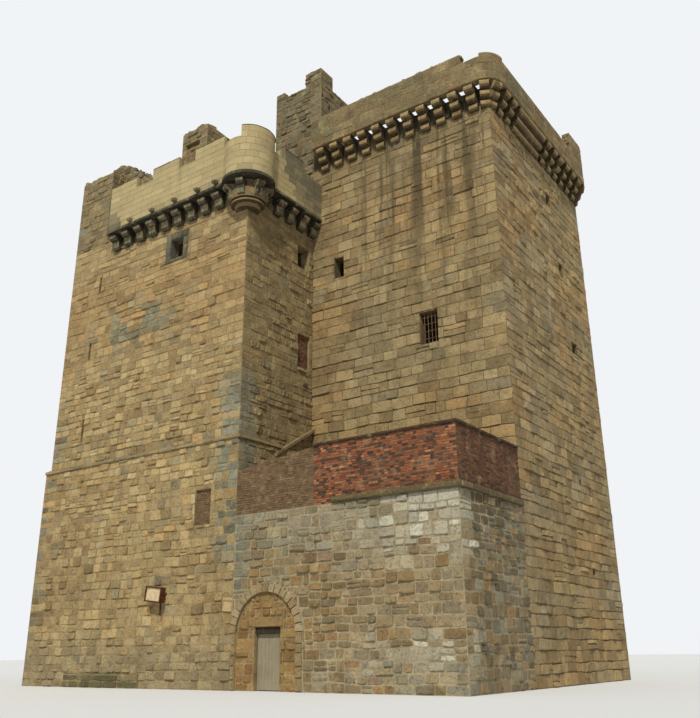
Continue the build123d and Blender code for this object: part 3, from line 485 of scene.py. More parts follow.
ANY_LOOK = dict(columns=3, rings=WORN, halved=0.0, waver=0.0, lift=None, bay=None)
TOWER_LOOK = dict(ANY_LOOK, course=(0.33, 0.45), length=(0.40, 0.90), quoin=(0.45, 0.85), joint=0.007,
                  relief=(0.006, 0.048), skew=2.0, rough=0.013, edge=0.020, uneven=0.34, halved=0.08, waver=0.045)
TOWER_SIDE_LOOK = dict(TOWER_LOOK, course=(0.26, 0.40), length=(0.36, 0.85), relief=(0.004, 0.065), rough=0.016,
                       uneven=0.40)
HALL_LOOK = dict(ANY_LOOK, course=(0.22, 0.34), length=(0.26, 0.58), quoin=(0.42, 0.80), joint=0.010,
                 relief=(0.004, 0.060), skew=2.6, rough=0.018, edge=0.024, uneven=0.38, halved=0.10, waver=0.045,
                 lift=(1.0, 1.7), bay=(2.6, 4.6))
HALL_HIGH_LOOK = dict(HALL_LOOK, course=(0.26, 0.36), length=(0.38, 0.78), relief=(0.004, 0.050), halved=0.06)
RETURN_LOOK = dict(HALL_LOOK, course=(0.26, 0.36), relief=(0.005, 0.060), halved=0.06, bay=None)
HIDDEN_LOOK = dict(HALL_LOOK, columns=2, rings=PLAIN)
PORCH_LOOK = dict(ANY_LOOK, course=(0.20, 0.36), length=(0.26, 0.58), quoin=(0.36, 0.66), joint=0.018,
                  relief=(0.006, 0.065), skew=2.4, rough=0.020, edge=0.030, uneven=0.36, halved=0.12, waver=0.06,
                  lift=(0.7, 1.3), bay=(1.6, 3.2))
INFILL_LOOK = dict(PORCH_LOOK, bay=None, lift=None, waver=0.0)
RUIN_LOOK = dict(ANY_LOOK, course=(0.22, 0.34), length=(0.28, 0.60), quoin=(0.30, 0.55), joint=0.010,
                 relief=(0.006, 0.060), skew=1.8, rough=0.016, edge=0.022, uneven=0.40, halved=0.10, waver=0.04)
BROKEN_LOOK = dict(RUIN_LOOK, course=(0.14, 0.22), length=(0.16, 0.42), quoin=(0.1, 0.2), relief=(0.01, 0.07),
                   uneven=0.5)
LOW_BROKEN_LOOK = dict(BROKEN_LOOK, relief=(0.004, 0.016))
HEAPED_LOOK = dict(BROKEN_LOOK, course=(0.2, 0.34), length=(0.2, 0.42), relief=(0.02, 0.16))
PARAPET_LOOK = dict(ANY_LOOK, course=(0.26, 0.31), length=(0.42, 0.80), quoin=(0.30, 0.50), joint=0.004,
                    relief=(0.004, 0.009), skew=1.0, rough=0.003, edge=0.004, uneven=0.10, columns=2, rings=PLAIN)
TOP_LOOK = dict(PARAPET_LOOK, relief=(0.004, 0.012), course=(0.4, 0.4))
TURRET_LOOK = dict(PARAPET_LOOK, length=(0.34, 0.62))
TOWER_PARAPET_LOOK = dict(TOWER_LOOK, course=(0.25, 0.33), length=(0.36, 0.72), quoin=(0.30, 0.50),
                          relief=(0.005, 0.020), halved=0.04, waver=0.02)
SURROUND_LOOK = dict(TOWER_PARAPET_LOOK, relief=(0.010, 0.045), length=(0.26, 0.55), course=(0.2, 0.34),
                     rough=0.018, waver=0.0)
BRICK_LOOK = dict(ANY_LOOK, course=(0.0745, 0.0755), length=(0.105, 0.225), quoin=(0.11, 0.22), joint=0.007,
                  relief=(0.001, 0.012), skew=1.5, rough=0.003, edge=0.003, uneven=0.2, columns=1, rings=PLAIN)
COPING_LOOK = dict(BRICK_LOOK, course=(0.2, 0.2), length=(0.10, 0.24), relief=(0.004, 0.014), rough=0.010)
BAND_LOOK = dict(TOWER_LOOK, course=(1.0, 1.0), length=(0.45, 1.1), halved=0.0, waver=0.0, relief=(0.006, 0.016))
PLINTH_LOOK = dict(BAND_LOOK, length=(0.5, 1.2), course=(0.2, 0.24), rough=0.03, relief=(0.01, 0.05))
SLAB_LOOK = dict(BAND_LOOK, length=(0.45, 0.85), rough=0.016, relief=(0.002, 0.018), edge=0.03)
ROLL_LOOK = dict(BAND_LOOK, edge=0.06, relief=(0.012, 0.03), length=(0.7, 1.4))
CAP_LOOK = dict(BAND_LOOK, length=(0.5, 0.9), rough=0.006, relief=(0.016, 0.026), edge=0.010)
FLAG_LOOK = dict(PARAPET_LOOK, course=(0.50, 0.60), length=(0.50, 0.90), joint=0.018, relief=(0.008, 0.016),
                 rough=0.010)
BOARD_LOOK = dict(ANY_LOOK, course=(9.0, 9.0), length=(0.13, 0.16), quoin=(0.1, 0.1), joint=0.003,
                  relief=(0.011, 0.012), skew=1.0, rough=0.001, edge=0.002, uneven=0.04, columns=1)


# Colours of the stones, as display colours. A hue gives a stone at p its colour, and seeded patches, spots and
# heights put the grey, orange and bleached areas where the photograph has them, and darken the wall behind the corbels
# and under the courses with soot and painted shade.

GOLD = (0.68, 0.59, 0.41)
TAN = (0.62, 0.54, 0.39)
PALE = (0.74, 0.67, 0.52)
BROWN = (0.53, 0.44, 0.30)
ORANGE = (0.66, 0.51, 0.32)
GREY = (0.49, 0.49, 0.43)
DARK = (0.35, 0.32, 0.25)
BLEACHED = (0.73, 0.71, 0.63)
CREAM = (0.665, 0.60, 0.43)
# Soot and painted shade: the dark of the walls behind the corbels and under the courses
SOOT_AND_SHADE = (0.25, 0.24, 0.19)
RUST = (0.25, 0.15, 0.10)
# Painted shade for hollows where stones are missing
HOLLOW_SHADE = (0.09, 0.08, 0.06)
LAMP_PAINT = (0.79, 0.71, 0.56)


def pick(rng, *choices):
    """One of several (weight, colour) pairs."""
    r = rng.random() * sum(w for w, _ in choices)
    for weight, colour in choices:
        r -= weight
        if r <= 0:
            return colour
    return choices[-1][1]


def vary(colour, rng, amount):
    k = 1 + rng.uniform(-amount, amount)
    return tuple(clamp(c * k) for c in colour)


def patch(p, scale, seed):
    """A slow random field from -1 to 1."""
    return noise.noise(Vector((p.x * scale + seed, p.y * scale, p.z * scale)))


def even_hue(amount, *choices, base=SOOT_AND_SHADE, share=0.0):
    """A hue that is the same all over: one of the choices, drawn towards a base by a share, then varied."""
    return lambda p, rng: vary(mix(pick(rng, *choices), base, share), rng, amount)


def tower_hue(p, rng):
    c = mix(GOLD, TAN, 0.45 + 0.3 * patch(p, 0.5, 2))
    c = mix(c, pick(rng, (7, c), (1.2, PALE), (2.2, BROWN), (0.8, GREY), (1.6, ORANGE)), 0.36)
    c = tuple(k * 0.92 for k in c)
    # Painted shade with soot: the wall behind the corbels, under the parapet's overhang, drawn dark
    c = mix(c, SOOT_AND_SHADE, 0.85 * smooth(CORBEL_FOOT, CORBEL_FOOT + 0.25, p.z))
    if p.y < STEP_BACK + 0.1:
        grey = 0.60 * spot(p.x, p.z, 3.4, 11.6, 2.0, 2.4) + 0.4 * smooth(0.0, 0.5, patch(p, 0.4, 11))
        c = mix(c, (0.57, 0.51, 0.38), clamp(grey))
        warm = 0.5 * spot(p.x, p.z, 0.6, 9.6, 0.9, 2.0) + 0.45 * spot(p.x, p.z, 5.6, 17.0, 2.2, 1.2)
        warm = max(warm, 0.4 * smooth(0.1, 0.5, patch(p, 0.5, 31)))
        c = mix(c, ORANGE, clamp(warm * rng.uniform(0.5, 1.3)))
    else:
        c = mix(c, ORANGE, 0.45 * smooth(-0.1, 0.4, patch(p, 0.35, 17)) * rng.uniform(0.4, 1.3))
        c = mix(c, (0.58, 0.55, 0.47), 0.4 * smooth(0.1, 0.5, patch(p, 0.5, 23)))
    return vary(c, rng, 0.12)


# Painted shade with soot on the wall just under the hall's course and between its corbels: 0 below, 1 at the top
def hall_shade_and_soot(p):
    return smooth(COURSE_FOOT - 0.55, COURSE_FOOT - 0.35, p.z)


def hall_hue(p, rng):
    c = mix(GOLD, TAN, 0.25 + 0.4 * patch(p, 0.5, 4))
    c = mix(c, pick(rng, (6, c), (1.6, PALE), (2.0, BROWN), (0.5, GREY), (2.0, ORANGE)), 0.38)
    if p.y < 0.1:
        warm = 0.55 * smooth(11.6, 13.0, p.z) * smooth(17.2, 15.6, p.z)
        c = mix(c, (0.61, 0.48, 0.31), clamp(warm * rng.uniform(0.3, 1.3)))
        c = mix(c, TAN, 0.35 * smooth(15.0, 16.0, p.z))
        grey = smooth(-0.05, 0.25, patch(p, 1.1, 21)) * spot(p.x, p.z, -5.4, 13.3, 2.8, 1.0)
        c = mix(c, pick(rng, (2, (0.52, 0.51, 0.42)), (1, (0.47, 0.47, 0.40))), clamp(1.2 * grey))
        low_corner = smooth(3.4, 4.4, p.z) * smooth(10.6, 9.8, p.z)
        corner = smooth(-0.95, -0.60, p.x) * low_corner * (rng.random() < 0.8)
        c = mix(c, pick(rng, (2, (0.49, 0.50, 0.44)), (1, (0.42, 0.42, 0.36)), (1, (0.54, 0.54, 0.47))), corner * 0.9)
        edge = smooth(-9.5, -9.9, p.x) * (rng.random() < 0.40) * smooth(11.0, 9.0, p.z)
        c = mix(c, pick(rng, (1, DARK), (2, GREY)), edge * 0.8)
        c = mix(c, BROWN, 0.5 * spot(p.x, p.z, -8.6, 3.6, 1.6, 2.2) + 0.3 * spot(p.x, p.z, -1.6, 2.6, 1.2, 1.6))
        c = mix(c, (0.55, 0.50, 0.39), 0.7 * smooth(2.2, 0.6, p.z))
        c = mix(c, (0.44, 0.43, 0.38), 0.8 * spot(p.x, p.z, -3.2, 3.45, 0.4, 0.2))
    return vary(mix(c, SOOT_AND_SHADE, 0.75 * hall_shade_and_soot(p) * (p.x > PARAPET_START)), rng, 0.12)


def return_hue(p, rng):
    c = pick(rng, (5, (0.57, 0.49, 0.34)), (2, TAN), (1.6, (0.50, 0.44, 0.32)), (0.5, (0.48, 0.47, 0.40)))
    c = mix(c, (0.54, 0.47, 0.33), 0.45)
    c = mix(c, GREY, 0.75 * (smooth(1.0, 0.6, p.y) * smooth(10.8, 10.0, p.z)))
    return vary(mix(c, SOOT_AND_SHADE, 0.7 * hall_shade_and_soot(p)), rng, 0.09)


def porch_hue(p, rng):
    c = pick(rng, (4, (0.60, 0.53, 0.39)), (2.4, (0.56, 0.52, 0.42)), (1.0, (0.62, 0.48, 0.32)),
             (1.6, (0.47, 0.40, 0.28)), (1.2, (0.60, 0.58, 0.50)), (0.25, (0.56, 0.45, 0.38)))
    c = tuple(k * 0.96 for k in mix(c, (0.55, 0.48, 0.35), 0.30))
    if p.y < 0.5:
        c = mix(c, (0.57, 0.55, 0.47), 0.45 * smooth(3.6, 4.6, p.z))
        warm = 0.75 * smooth(-0.45, 0.15, patch(p, 0.7, 41)) * smooth(4.3, 3.4, p.z) * smooth(0.7, 1.5, p.z)
        c = mix(c, (0.54, 0.43, 0.27), clamp(warm * rng.uniform(0.5, 1.2)))
        bleach = 1.5 * spot(p.x, p.z, 7.4, 4.5, 2.7, 1.3) + 1.1 * spot(p.x, p.z, 7.2, 1.1, 2.2, 0.8)
        bleach *= smooth(-0.45, 0.05, patch(p, 1.8, 43) + 0.4 * rng.uniform(-1, 1))
        c = mix(c, pick(rng, (2, BLEACHED), (1, (0.65, 0.62, 0.53))), clamp(0.85 * bleach))
        c = mix(c, (0.50, 0.50, 0.43), 0.8 * smooth(0.75, 0.45, p.x) * smooth(2.5, 3.2, p.z))
    else:
        c = mix(c, pick(rng, (2, BROWN), (1.4, DARK), (1.5, GREY)), 0.48)
        c = mix(c, DARK, 0.65 * smooth(4.0, 5.0, p.z) * smooth(3.6, 2.4, p.y))
    return vary(c, rng, 0.11)


def parapet_hue(p, rng):
    c = mix(CREAM, PALE, 0.4 * rng.random())
    c = mix(c, TAN, 0.25 * smooth(0.1, 0.5, patch(p, 0.5, 51)))
    old = 0.0
    if p.y < -0.3:
        old = smooth(-6.7, -7.2, p.x) * smooth(18.9, 18.5, p.z) + 0.5 * smooth(18.15, 17.9, p.z) * (rng.random() < 0.5)
    elif p.x > 0.3 and p.y > 0.9:
        old = smooth(-0.6, 0.0, p.y - 1.2 - (19.9 - p.z) * 0.9)
    return vary(mix(c, pick(rng, (2, (0.41, 0.39, 0.31)), (1, (0.50, 0.46, 0.35))), 0.90 * clamp(old)), rng, 0.035)


def tower_parapet_hue(p, rng):
    c = pick(rng, (4, (0.52, 0.45, 0.32)), (2, (0.56, 0.49, 0.35)), (1.2, (0.46, 0.41, 0.30)), (1, (0.54, 0.43, 0.29)))
    return vary(mix(c, (0.42, 0.40, 0.29), 0.7 * smooth(-0.1, 0.35, patch(p, 0.6, 61))), rng, 0.05)


def stack_hue(p, rng):
    c = pick(rng, (3, (0.54, 0.48, 0.35)), (1.5, (0.49, 0.44, 0.33)), (1.5, (0.57, 0.50, 0.35)), (0.6, GREY))
    if p.x > -5.5:
        c = mix(c, (0.56, 0.43, 0.31), 0.5 * smooth(21.9, 21.5, p.z))
    return vary(c, rng, 0.06)


def red_hue(p, rng):
    c = pick(rng, (5, (0.54, 0.32, 0.21)), (3, (0.46, 0.27, 0.19)), (3.0, (0.28, 0.20, 0.16)),
             (1.2, (0.62, 0.42, 0.29)))
    # Bricks on the tower's right face are drawn darker: painted shade for that side
    if p.x > TOWER_RIGHT - 0.05:
        c = mix(c, (0.25, 0.19, 0.14), 0.45)
    elif p.x < 0:
        c = mix(c, (0.34, 0.26, 0.18), 0.50)
    return vary(c, rng, 0.12)


infill_hue = even_hue(0.08, (3, (0.57, 0.44, 0.26)), (2, (0.60, 0.48, 0.29)), (0.9, (0.53, 0.38, 0.23)),
                      (1, (0.52, 0.46, 0.34)), base=(0.55, 0.44, 0.27), share=0.25)
arch_hue = even_hue(0.04, (3, (0.61, 0.54, 0.40)), (1, (0.64, 0.58, 0.45)), (1, (0.58, 0.49, 0.35)))
ruin_hue = even_hue(0.09, (3, (0.48, 0.44, 0.34)), (1.6, (0.47, 0.40, 0.29)), (2.4, (0.45, 0.43, 0.35)), (0.7, DARK),
                    base=(0.48, 0.44, 0.34), share=0.2)
course_hue = even_hue(0.12, (2, (0.26, 0.25, 0.20)), (2, (0.33, 0.32, 0.25)), (1, (0.44, 0.42, 0.34)))
band_hue = even_hue(0.08, (3, (0.58, 0.52, 0.39)), (2, TAN), (1, (0.50, 0.48, 0.40)))
plinth_hue = even_hue(0.14, (2, (0.40, 0.38, 0.27)), (2, (0.35, 0.34, 0.24)), (1, (0.46, 0.41, 0.29)))
roll_hue = even_hue(0.08, (3, (0.40, 0.35, 0.24)), (1, (0.34, 0.31, 0.22)), (1, (0.46, 0.40, 0.28)))
brown_hue = even_hue(0.08, (4, (0.44, 0.35, 0.25)), (3, (0.40, 0.32, 0.23)), (1, (0.49, 0.41, 0.30)),
                     (1, (0.35, 0.28, 0.20)), base=(0.43, 0.35, 0.25), share=0.2)
coping_hue = even_hue(0.12, (3, (0.28, 0.20, 0.15)), (2, (0.35, 0.23, 0.17)), (1, (0.22, 0.18, 0.14)))
flag_hue = even_hue(0.06, (3, (0.47, 0.46, 0.39)), (2, (0.44, 0.43, 0.37)), (1, (0.52, 0.48, 0.38)))
cap_hue = even_hue(0.10, (2, (0.42, 0.34, 0.24)), (1, (0.50, 0.43, 0.31)))
surround_hue = even_hue(0.10, (3, (0.40, 0.38, 0.31)), (2, (0.34, 0.33, 0.27)), (1, (0.48, 0.44, 0.34)))


# Materials


FACTOR, A_COLOUR, B_COLOUR, MIXED_COLOUR = 0, 6, 7, 2  # sockets of the mix node


def plug(tree, node, inputs):
    """Gives a node's inputs their values, or links them to other nodes' sockets."""
    for key, value in inputs.items():
        if isinstance(value, bpy.types.NodeSocket):
            tree.links.new(value, node.inputs[key])
        else:
            node.inputs[key].default_value = value


def add_node(tree, kind, inputs=None, **settings):
    node = tree.nodes.new("ShaderNode" + kind)
    for name, value in settings.items():
        setattr(node, name, value)
    plug(tree, node, inputs or {})
    return node


def paint(colour):
    """A display colour as a socket takes it. A socket stays as it is."""
    return colour if isinstance(colour, bpy.types.NodeSocket) else linear(colour) + (1,)


class Material:
    """A material in the making: its nodes, and the colour that they have come to so far."""

    def __init__(self, name, colour=None):
        self.material = bpy.data.materials.new(name)
        self.material.use_nodes = True
        self.tree = self.material.node_tree
        self.tree.nodes.clear()
        self.shader = self.node("BsdfPrincipled")
        self.node("OutputMaterial", {"Surface": self.shader.outputs["BSDF"]})
        self.colour = colour

    def node(self, kind, inputs=None, **settings):
        return add_node(self.tree, kind, inputs, **settings)

    def own_colour(self):
        self.colour = self.node("Attribute", attribute_name="stone").outputs["Color"]

    def axes(self, source):
        return self.node("SeparateXYZ", {"Vector": source}).outputs

    def place(self):
        """The building's own coordinates."""
        return self.node("TexCoord").outputs["Object"]

    def noise(self, scale, detail=6.0, roughness=0.6, stretch=(1, 1, 1), offset=(0, 0, 0)):
        """Noise in the building's own coordinates."""
        mapping = self.node("Mapping", {"Vector": self.place(), "Scale": stretch, "Location": offset})
        return self.node("TexNoise", {"Vector": mapping.outputs["Vector"], "Scale": scale, "Detail": detail,
                                      "Roughness": roughness}).outputs["Fac"]

    def ramp(self, source, low, high, most=1.0):
        """Rises from 0 at low to most at high, or falls if low lies above high."""
        first, last = (0.0, most) if low < high else (most, 0.0)
        return self.node("MapRange", {"Value": source, "From Min": min(low, high), "From Max": max(low, high),
                                      "To Min": first, "To Max": last},
                         interpolation_type="SMOOTHSTEP").outputs["Result"]

    def maths(self, operation, a, b=0.0):
        return self.node("Math", {0: a, 1: b}, operation=operation).outputs[0]

    def tint(self, colour, factor):
        """Lays a colour over the colour so far by a factor."""
        node = self.node("Mix", {FACTOR: factor, A_COLOUR: paint(self.colour), B_COLOUR: paint(colour)},
                         data_type="RGBA")
        self.colour = node.outputs[MIXED_COLOUR]

    def islands(self, share):
        """A random value for each loose part, up to a share."""
        return self.maths("MULTIPLY", self.node("NewGeometry").outputs["Random Per Island"], share)

    def weighted(self, *parts):
        """A weighted sum of grey sockets."""
        total = None
        for socket, weight in parts:
            scaled = self.maths("MULTIPLY", socket, weight)
            total = scaled if total is None else self.maths("ADD", total, scaled)
        return total

    def weather(self, grain, stain, lichen, streak):
        """Grain, blotches, soft damp runs and spots of lichen over the colour. Returns a height."""
        fine = self.noise(34.0, 8.0, 0.72)
        middle = self.noise(8.0, 6.0, 0.68, offset=(3, 0, 4))
        large = self.noise(0.8, 5.0, 0.6, offset=(4, 9, 2))
        runs = self.noise(1.5, 4.0, 0.55, stretch=(1.0, 1.0, 0.07), offset=(1, 7, 3))
        pits = self.noise(15.0, 4.0, 0.6, offset=(8, 1, 5))
        blotch = self.noise(2.1, 8.0, 0.72, offset=(6, 2, 9))
        for colour, source, low, high, most in (
                ((0.80, 0.71, 0.52), blotch, 0.52, 0.68, 0.34 * grain),
                ((0.36, 0.29, 0.19), blotch, 0.48, 0.33, 0.42 * grain),
                ((0.34, 0.28, 0.19), middle, 0.50, 0.72, stain),
                ((0.86, 0.79, 0.62), fine, 0.54, 0.76, 0.34 * grain),
                ((0.25, 0.21, 0.14), fine, 0.46, 0.26, 0.50 * grain),
                ((0.27, 0.25, 0.19), runs, 0.54, 0.74, streak),
                ((0.42, 0.39, 0.30), large, 0.52, 0.72, stain * 0.7)):
            self.tint(colour, self.ramp(source, low, high, most))
        if lichen:
            spots = self.noise(9.0, 5.0, 0.75, offset=(3, 3, 8))
            self.tint((0.72, 0.71, 0.60), self.ramp(spots, 0.60, 0.67, lichen))
        return self.weighted((fine, 0.25), (middle, 0.55), (blotch, 0.5), (self.ramp(pits, 0.28, 0.42), 0.35))

    def finish(self, height, distance, rough=(0.85, 0.98)):
        """Puts the colour, a bump from the height and a roughness that follows it on the shader."""
        bump = self.node("Bump", {"Distance": distance, "Height": height})
        wear = self.node("MapRange", {"To Min": rough[0], "To Max": rough[1], "Value": height})
        plug(self.tree, self.shader, {"Normal": bump.outputs["Normal"], "Base Color": self.colour,
                                      "Roughness": wear.outputs["Result"], "Specular IOR Level": 0.2})
        return self.material


def stone_material(name, grain=1.0, stain=0.35, lichen=0.0, streak=0.25, distance=0.03):
    """Stone or brick over each piece's own colour."""
    m = Material(name)
    m.own_colour()
    return m.finish(m.weather(grain, stain, lichen, streak), distance)


def tower_front_material(name):
    """The tower's ashlar, with long dark stains that run down from the corbels and fade."""
    m = Material(name)
    m.own_colour()
    height = m.weather(1.0, 0.30, 0.0, 0.18)
    z = m.axes(m.place())["Z"]
    streaks = m.noise(2.4, 6.0, 0.62, stretch=(1.0, 0.3, 0.045), offset=(2.2, 0, 0))
    broad = m.noise(0.7, 2.0, 0.5, stretch=(1.0, 0.3, 0.05), offset=(5.2, 0, 0))
    strength = m.maths("MULTIPLY", m.ramp(streaks, 0.46, 0.62, 0.78), m.ramp(z, 8.5, TOWER_TOP - 1.5))
    strength = m.maths("MULTIPLY", strength, m.ramp(broad, 0.30, 0.52))
    near_top = m.ramp(z, TOWER_TOP - 3.0, TOWER_TOP - 0.9, 0.30)
    m.tint((0.24, 0.22, 0.16), m.maths("MAXIMUM", strength, near_top))
    return m.finish(height, 0.06)


def solid_stone(name, a, b, c, grain=1.0, distance=0.03):
    """Stone for CAD pieces that have no colours of their own: three colours broken by noise."""
    m = Material(name, a)
    m.tint(b, m.ramp(m.noise(5.0, 6.0, 0.65, offset=(7, 7, 1)), 0.38, 0.66))
    m.tint(c, m.ramp(m.noise(1.3, 5.0, 0.6, offset=(2, 5, 7)), 0.45, 0.75))
    m.tint(c, m.islands(0.3))
    return m.finish(m.weather(grain, 0.3, 0.0, 0.3), distance)


def corbel_material(name, body_colour, upper, shade_and_dark_tone, wall_front=None):
    """Corbel stone with pale noses. Painted shade darkens the undersides, and the sides of corbels in a row along a
    wall, where the gaps between them are in shade; the same dark colour also darkens whole corbels at random.
    """
    m = Material(name, body_colour)
    facing = m.axes(m.node("NewGeometry").outputs["Normal"])
    m.tint(upper, m.ramp(m.noise(6.0, 6.0, 0.68, offset=(7, 7, 1)), 0.48, 0.62, 0.8))
    m.tint(shade_and_dark_tone, m.islands(0.30))
    # Painted shade on faces that look down
    m.tint(shade_and_dark_tone, m.ramp(facing["Z"], -0.35, -0.95, 0.80))
    if wall_front is not None:
        y = m.axes(m.place())["Y"]
        row_along_x = m.maths("MAXIMUM", m.maths("LESS_THAN", y, PLAN_ZERO.y + wall_front),
                              m.maths("GREATER_THAN", y, PLAN_ZERO.y + REAR))
        row_along_y = m.maths("SUBTRACT", 1.0, row_along_x)
        # Painted shade on the sides of corbels in a row, where the gaps between them fall in shade
        shaded_sides = m.maths("ADD", m.maths("MULTIPLY", m.maths("ABSOLUTE", facing["X"]), row_along_x),
                          m.maths("MULTIPLY", m.maths("ABSOLUTE", facing["Y"]), row_along_y))
        m.tint(shade_and_dark_tone, m.ramp(shaded_sides, 0.78, 0.96, 0.85))
    return m.finish(m.weather(1.0, 0.4, 0.15, 0.2), 0.04)


def wood_material(name):
    """Old boards under worn pale grey-green paint, with the grain along Z."""
    m = Material(name, (0.59, 0.55, 0.45))
    grain = m.noise(20.0, 8.0, 0.7, stretch=(3.0, 3.0, 0.12))
    wear = m.noise(5.0, 7.0, 0.75)
    m.tint((0.52, 0.48, 0.39), m.ramp(grain, 0.35, 0.70))
    m.tint((0.42, 0.36, 0.26), m.ramp(wear, 0.56, 0.66, 0.4))
    m.tint((0.46, 0.43, 0.34), m.ramp(m.noise(1.4, 4.0, 0.6, offset=(5, 1, 2)), 0.45, 0.7, 0.4))
    return m.finish(m.weighted((grain, 0.8), (wear, 0.4)), 0.004, (0.65, 0.85))


def iron_material(name, dark, rust, bright):
    """Rusty iron with flakes."""
    m = Material(name, dark)
    fine = m.noise(80.0, 8.0, 0.75)
    broad = m.noise(12.0, 6.0, 0.7, offset=(2, 2, 2))
    m.tint(rust, m.ramp(broad, 0.35, 0.60, 0.8))
    m.tint(bright, m.ramp(fine, 0.5, 0.75, 0.5))
    return m.finish(m.weighted((fine, 0.6), (broad, 0.4)), 0.003, (0.7, 0.95))


def panel_material(name):
    """A pale cream panel with spots of rust and runs of dirt."""
    m = Material(name, LAMP_PAINT)
    spots = m.noise(9.0, 7.0, 0.75)
    m.tint((0.66, 0.50, 0.34), m.ramp(spots, 0.50, 0.66, 0.7))
    m.tint((0.45, 0.25, 0.15), m.ramp(m.noise(12.0, 4.0, 0.6, stretch=(1, 1, 0.15)), 0.56, 0.70, 0.6))
    return m.finish(spots, 0.002, (0.6, 0.85))


ASHLAR_FRONT = tower_front_material("tower_front_ashlar")
ASHLAR = stone_material("ashlar", grain=1.1, stain=0.42, lichen=0.12, streak=0.22, distance=0.075)
RUBBLE = stone_material("rubble", grain=1.0, stain=0.36, lichen=0.12, streak=0.12, distance=0.075)
RETURN_STONE = stone_material("return_stone", grain=1.1, stain=0.45, lichen=0.08, streak=0.25, distance=0.08)
CREAM_STONE = stone_material("cream_ashlar", grain=0.42, stain=0.16, lichen=0.06, streak=0.30, distance=0.012)
RUIN_STONE = stone_material("ruin_stone", grain=1.0, stain=0.42, lichen=0.25, streak=0.25, distance=0.07)
SOOTED_STONE = stone_material("sooted_stone", grain=0.8, stain=0.30, lichen=0.45, streak=0.10, distance=0.05)
BRICK = stone_material("brick", grain=0.6, stain=0.34, lichen=0.04, streak=0.18, distance=0.012)
FLAGS = stone_material("flags", grain=0.8, stain=0.40, lichen=0.30, streak=0.0, distance=0.012)
DOOR_PAINT = wood_material("door_paint")
BAR_IRON = iron_material("bar_iron", (0.30, 0.24, 0.19), (0.44, 0.34, 0.25), (0.55, 0.46, 0.36))
PANEL = panel_material("lamp_panel")


# Each CAD node's material, in which its mortar or dressed stone shows, and the bevels of its worn edges


def coat(material, nodes):
    """Gives a material to nodes, whose names stand in one string."""
    for name in nodes.split():
        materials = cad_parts[name].data.materials
        materials.clear()
        materials.append(material)


coat(solid_stone("tan_mortar", (0.62, 0.54, 0.38), (0.56, 0.48, 0.33), (0.44, 0.38, 0.27)),
     "hall_front_wall hall_left_wall hall_rear_wall hall_return_wall hall_gable_stub garret_stub cap_house "
     "hall_string_course base_plinth door_arch door_tympanum door_jambs tower_parapet tower_merlons")
coat(solid_stone("tower_mortar", (0.50, 0.43, 0.30), (0.43, 0.37, 0.25), (0.34, 0.29, 0.20)),
     "party_wall tower_front_wall tower_right_wall tower_rear_wall")
coat(solid_stone("pale_mortar", (0.66, 0.61, 0.49), (0.58, 0.53, 0.42), (0.50, 0.46, 0.36)),
     "porch_front_wall porch_wall_over_door porch_right_wall")
coat(solid_stone("brick_mortar", (0.42, 0.33, 0.25), (0.35, 0.27, 0.20), (0.29, 0.22, 0.17), 0.9, 0.01),
     "red_brick_wall brown_brick_wall window_blockings")
coat(solid_stone("cream_mortar", (0.61, 0.55, 0.40), (0.55, 0.50, 0.36), (0.47, 0.42, 0.32), 0.7, 0.01),
     "hall_parapet hall_back_parapet hall_merlons hall_turret")
coat(solid_stone("sooted_mortar", (0.26, 0.24, 0.19), (0.20, 0.19, 0.15), (0.16, 0.15, 0.12)),
     "hall_course porch_coping")
coat(corbel_material("hall_corbel_stone", (0.45, 0.42, 0.33), (0.64, 0.60, 0.48), (0.05, 0.04, 0.03), 0.0),
     "hall_corbels turret_corbels")
coat(corbel_material("tower_corbel_stone", (0.64, 0.54, 0.37), (0.72, 0.62, 0.44), (0.06, 0.05, 0.03), STEP_BACK),
     "tower_corbels")
coat(corbel_material("turret_foot_stone", (0.50, 0.43, 0.31), (0.62, 0.49, 0.31), (0.16, 0.14, 0.10)), "turret_foot")
coat(solid_stone("grey_stone", (0.47, 0.46, 0.39), (0.39, 0.38, 0.32), (0.31, 0.30, 0.25)),
     "window_surround hall_floors tower_floors porch_deck")
coat(solid_stone("raggle_stone", (0.58, 0.50, 0.35), (0.50, 0.43, 0.30), (0.42, 0.36, 0.26)), "roof_raggle")
coat(solid_stone("roll_stone", (0.40, 0.35, 0.24), (0.34, 0.30, 0.21), (0.28, 0.25, 0.18)), "porch_string_course")
# Painted shade: the dark strip above the door leaf, where the opening's head casts its shadow, drawn as a dark lintel
coat(solid_stone("painted_shade_lintel", (0.22, 0.18, 0.13), (0.17, 0.14, 0.10), (0.12, 0.10, 0.08), 0.5, 0.004), "door_lintel")
coat(iron_material("rusty_iron", (0.15, 0.10, 0.08), (0.40, 0.22, 0.12), (0.52, 0.30, 0.16)), "hinge_pins lamp_frame")
coat(DOOR_PAINT, "door_leaf")

WORN_EDGES = {"tower_corbels": 0.022, "hall_corbels": 0.022, "turret_corbels": 0.018, "turret_foot": 0.012,
              "hall_course": 0.012, "porch_string_course": 0.03, "hall_string_course": 0.02, "porch_coping": 0.012,
              "window_surround": 0.012, "roof_raggle": 0.02, "base_plinth": 0.03, "lamp_frame": 0.006}
SHARP_EDGE = math.radians(35)
for name, width in WORN_EDGES.items():
    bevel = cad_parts[name].modifiers.new("worn_edges", "BEVEL")
    bevel.width = width
    bevel.segments = 2
    bevel.limit_method = "ANGLE"
    bevel.angle_limit = SHARP_EDGE


# Holes in the walls: windows by their middle, sill, width and height


def windows(*sizes):
    return [(x - wide / 2, x + wide / 2, sill, sill + high) for x, sill, wide, high in sizes]


def moved(holes, by=0.0, flip=None):
    """Holes given along X or Y, as along a walk that starts at by, or one that runs backwards from flip."""
    if flip is None:
        return [(u0 - by, u1 - by, *heights) for u0, u1, *heights in holes]
    return [(flip - u1, flip - u0, *heights) for u0, u1, *heights in holes]


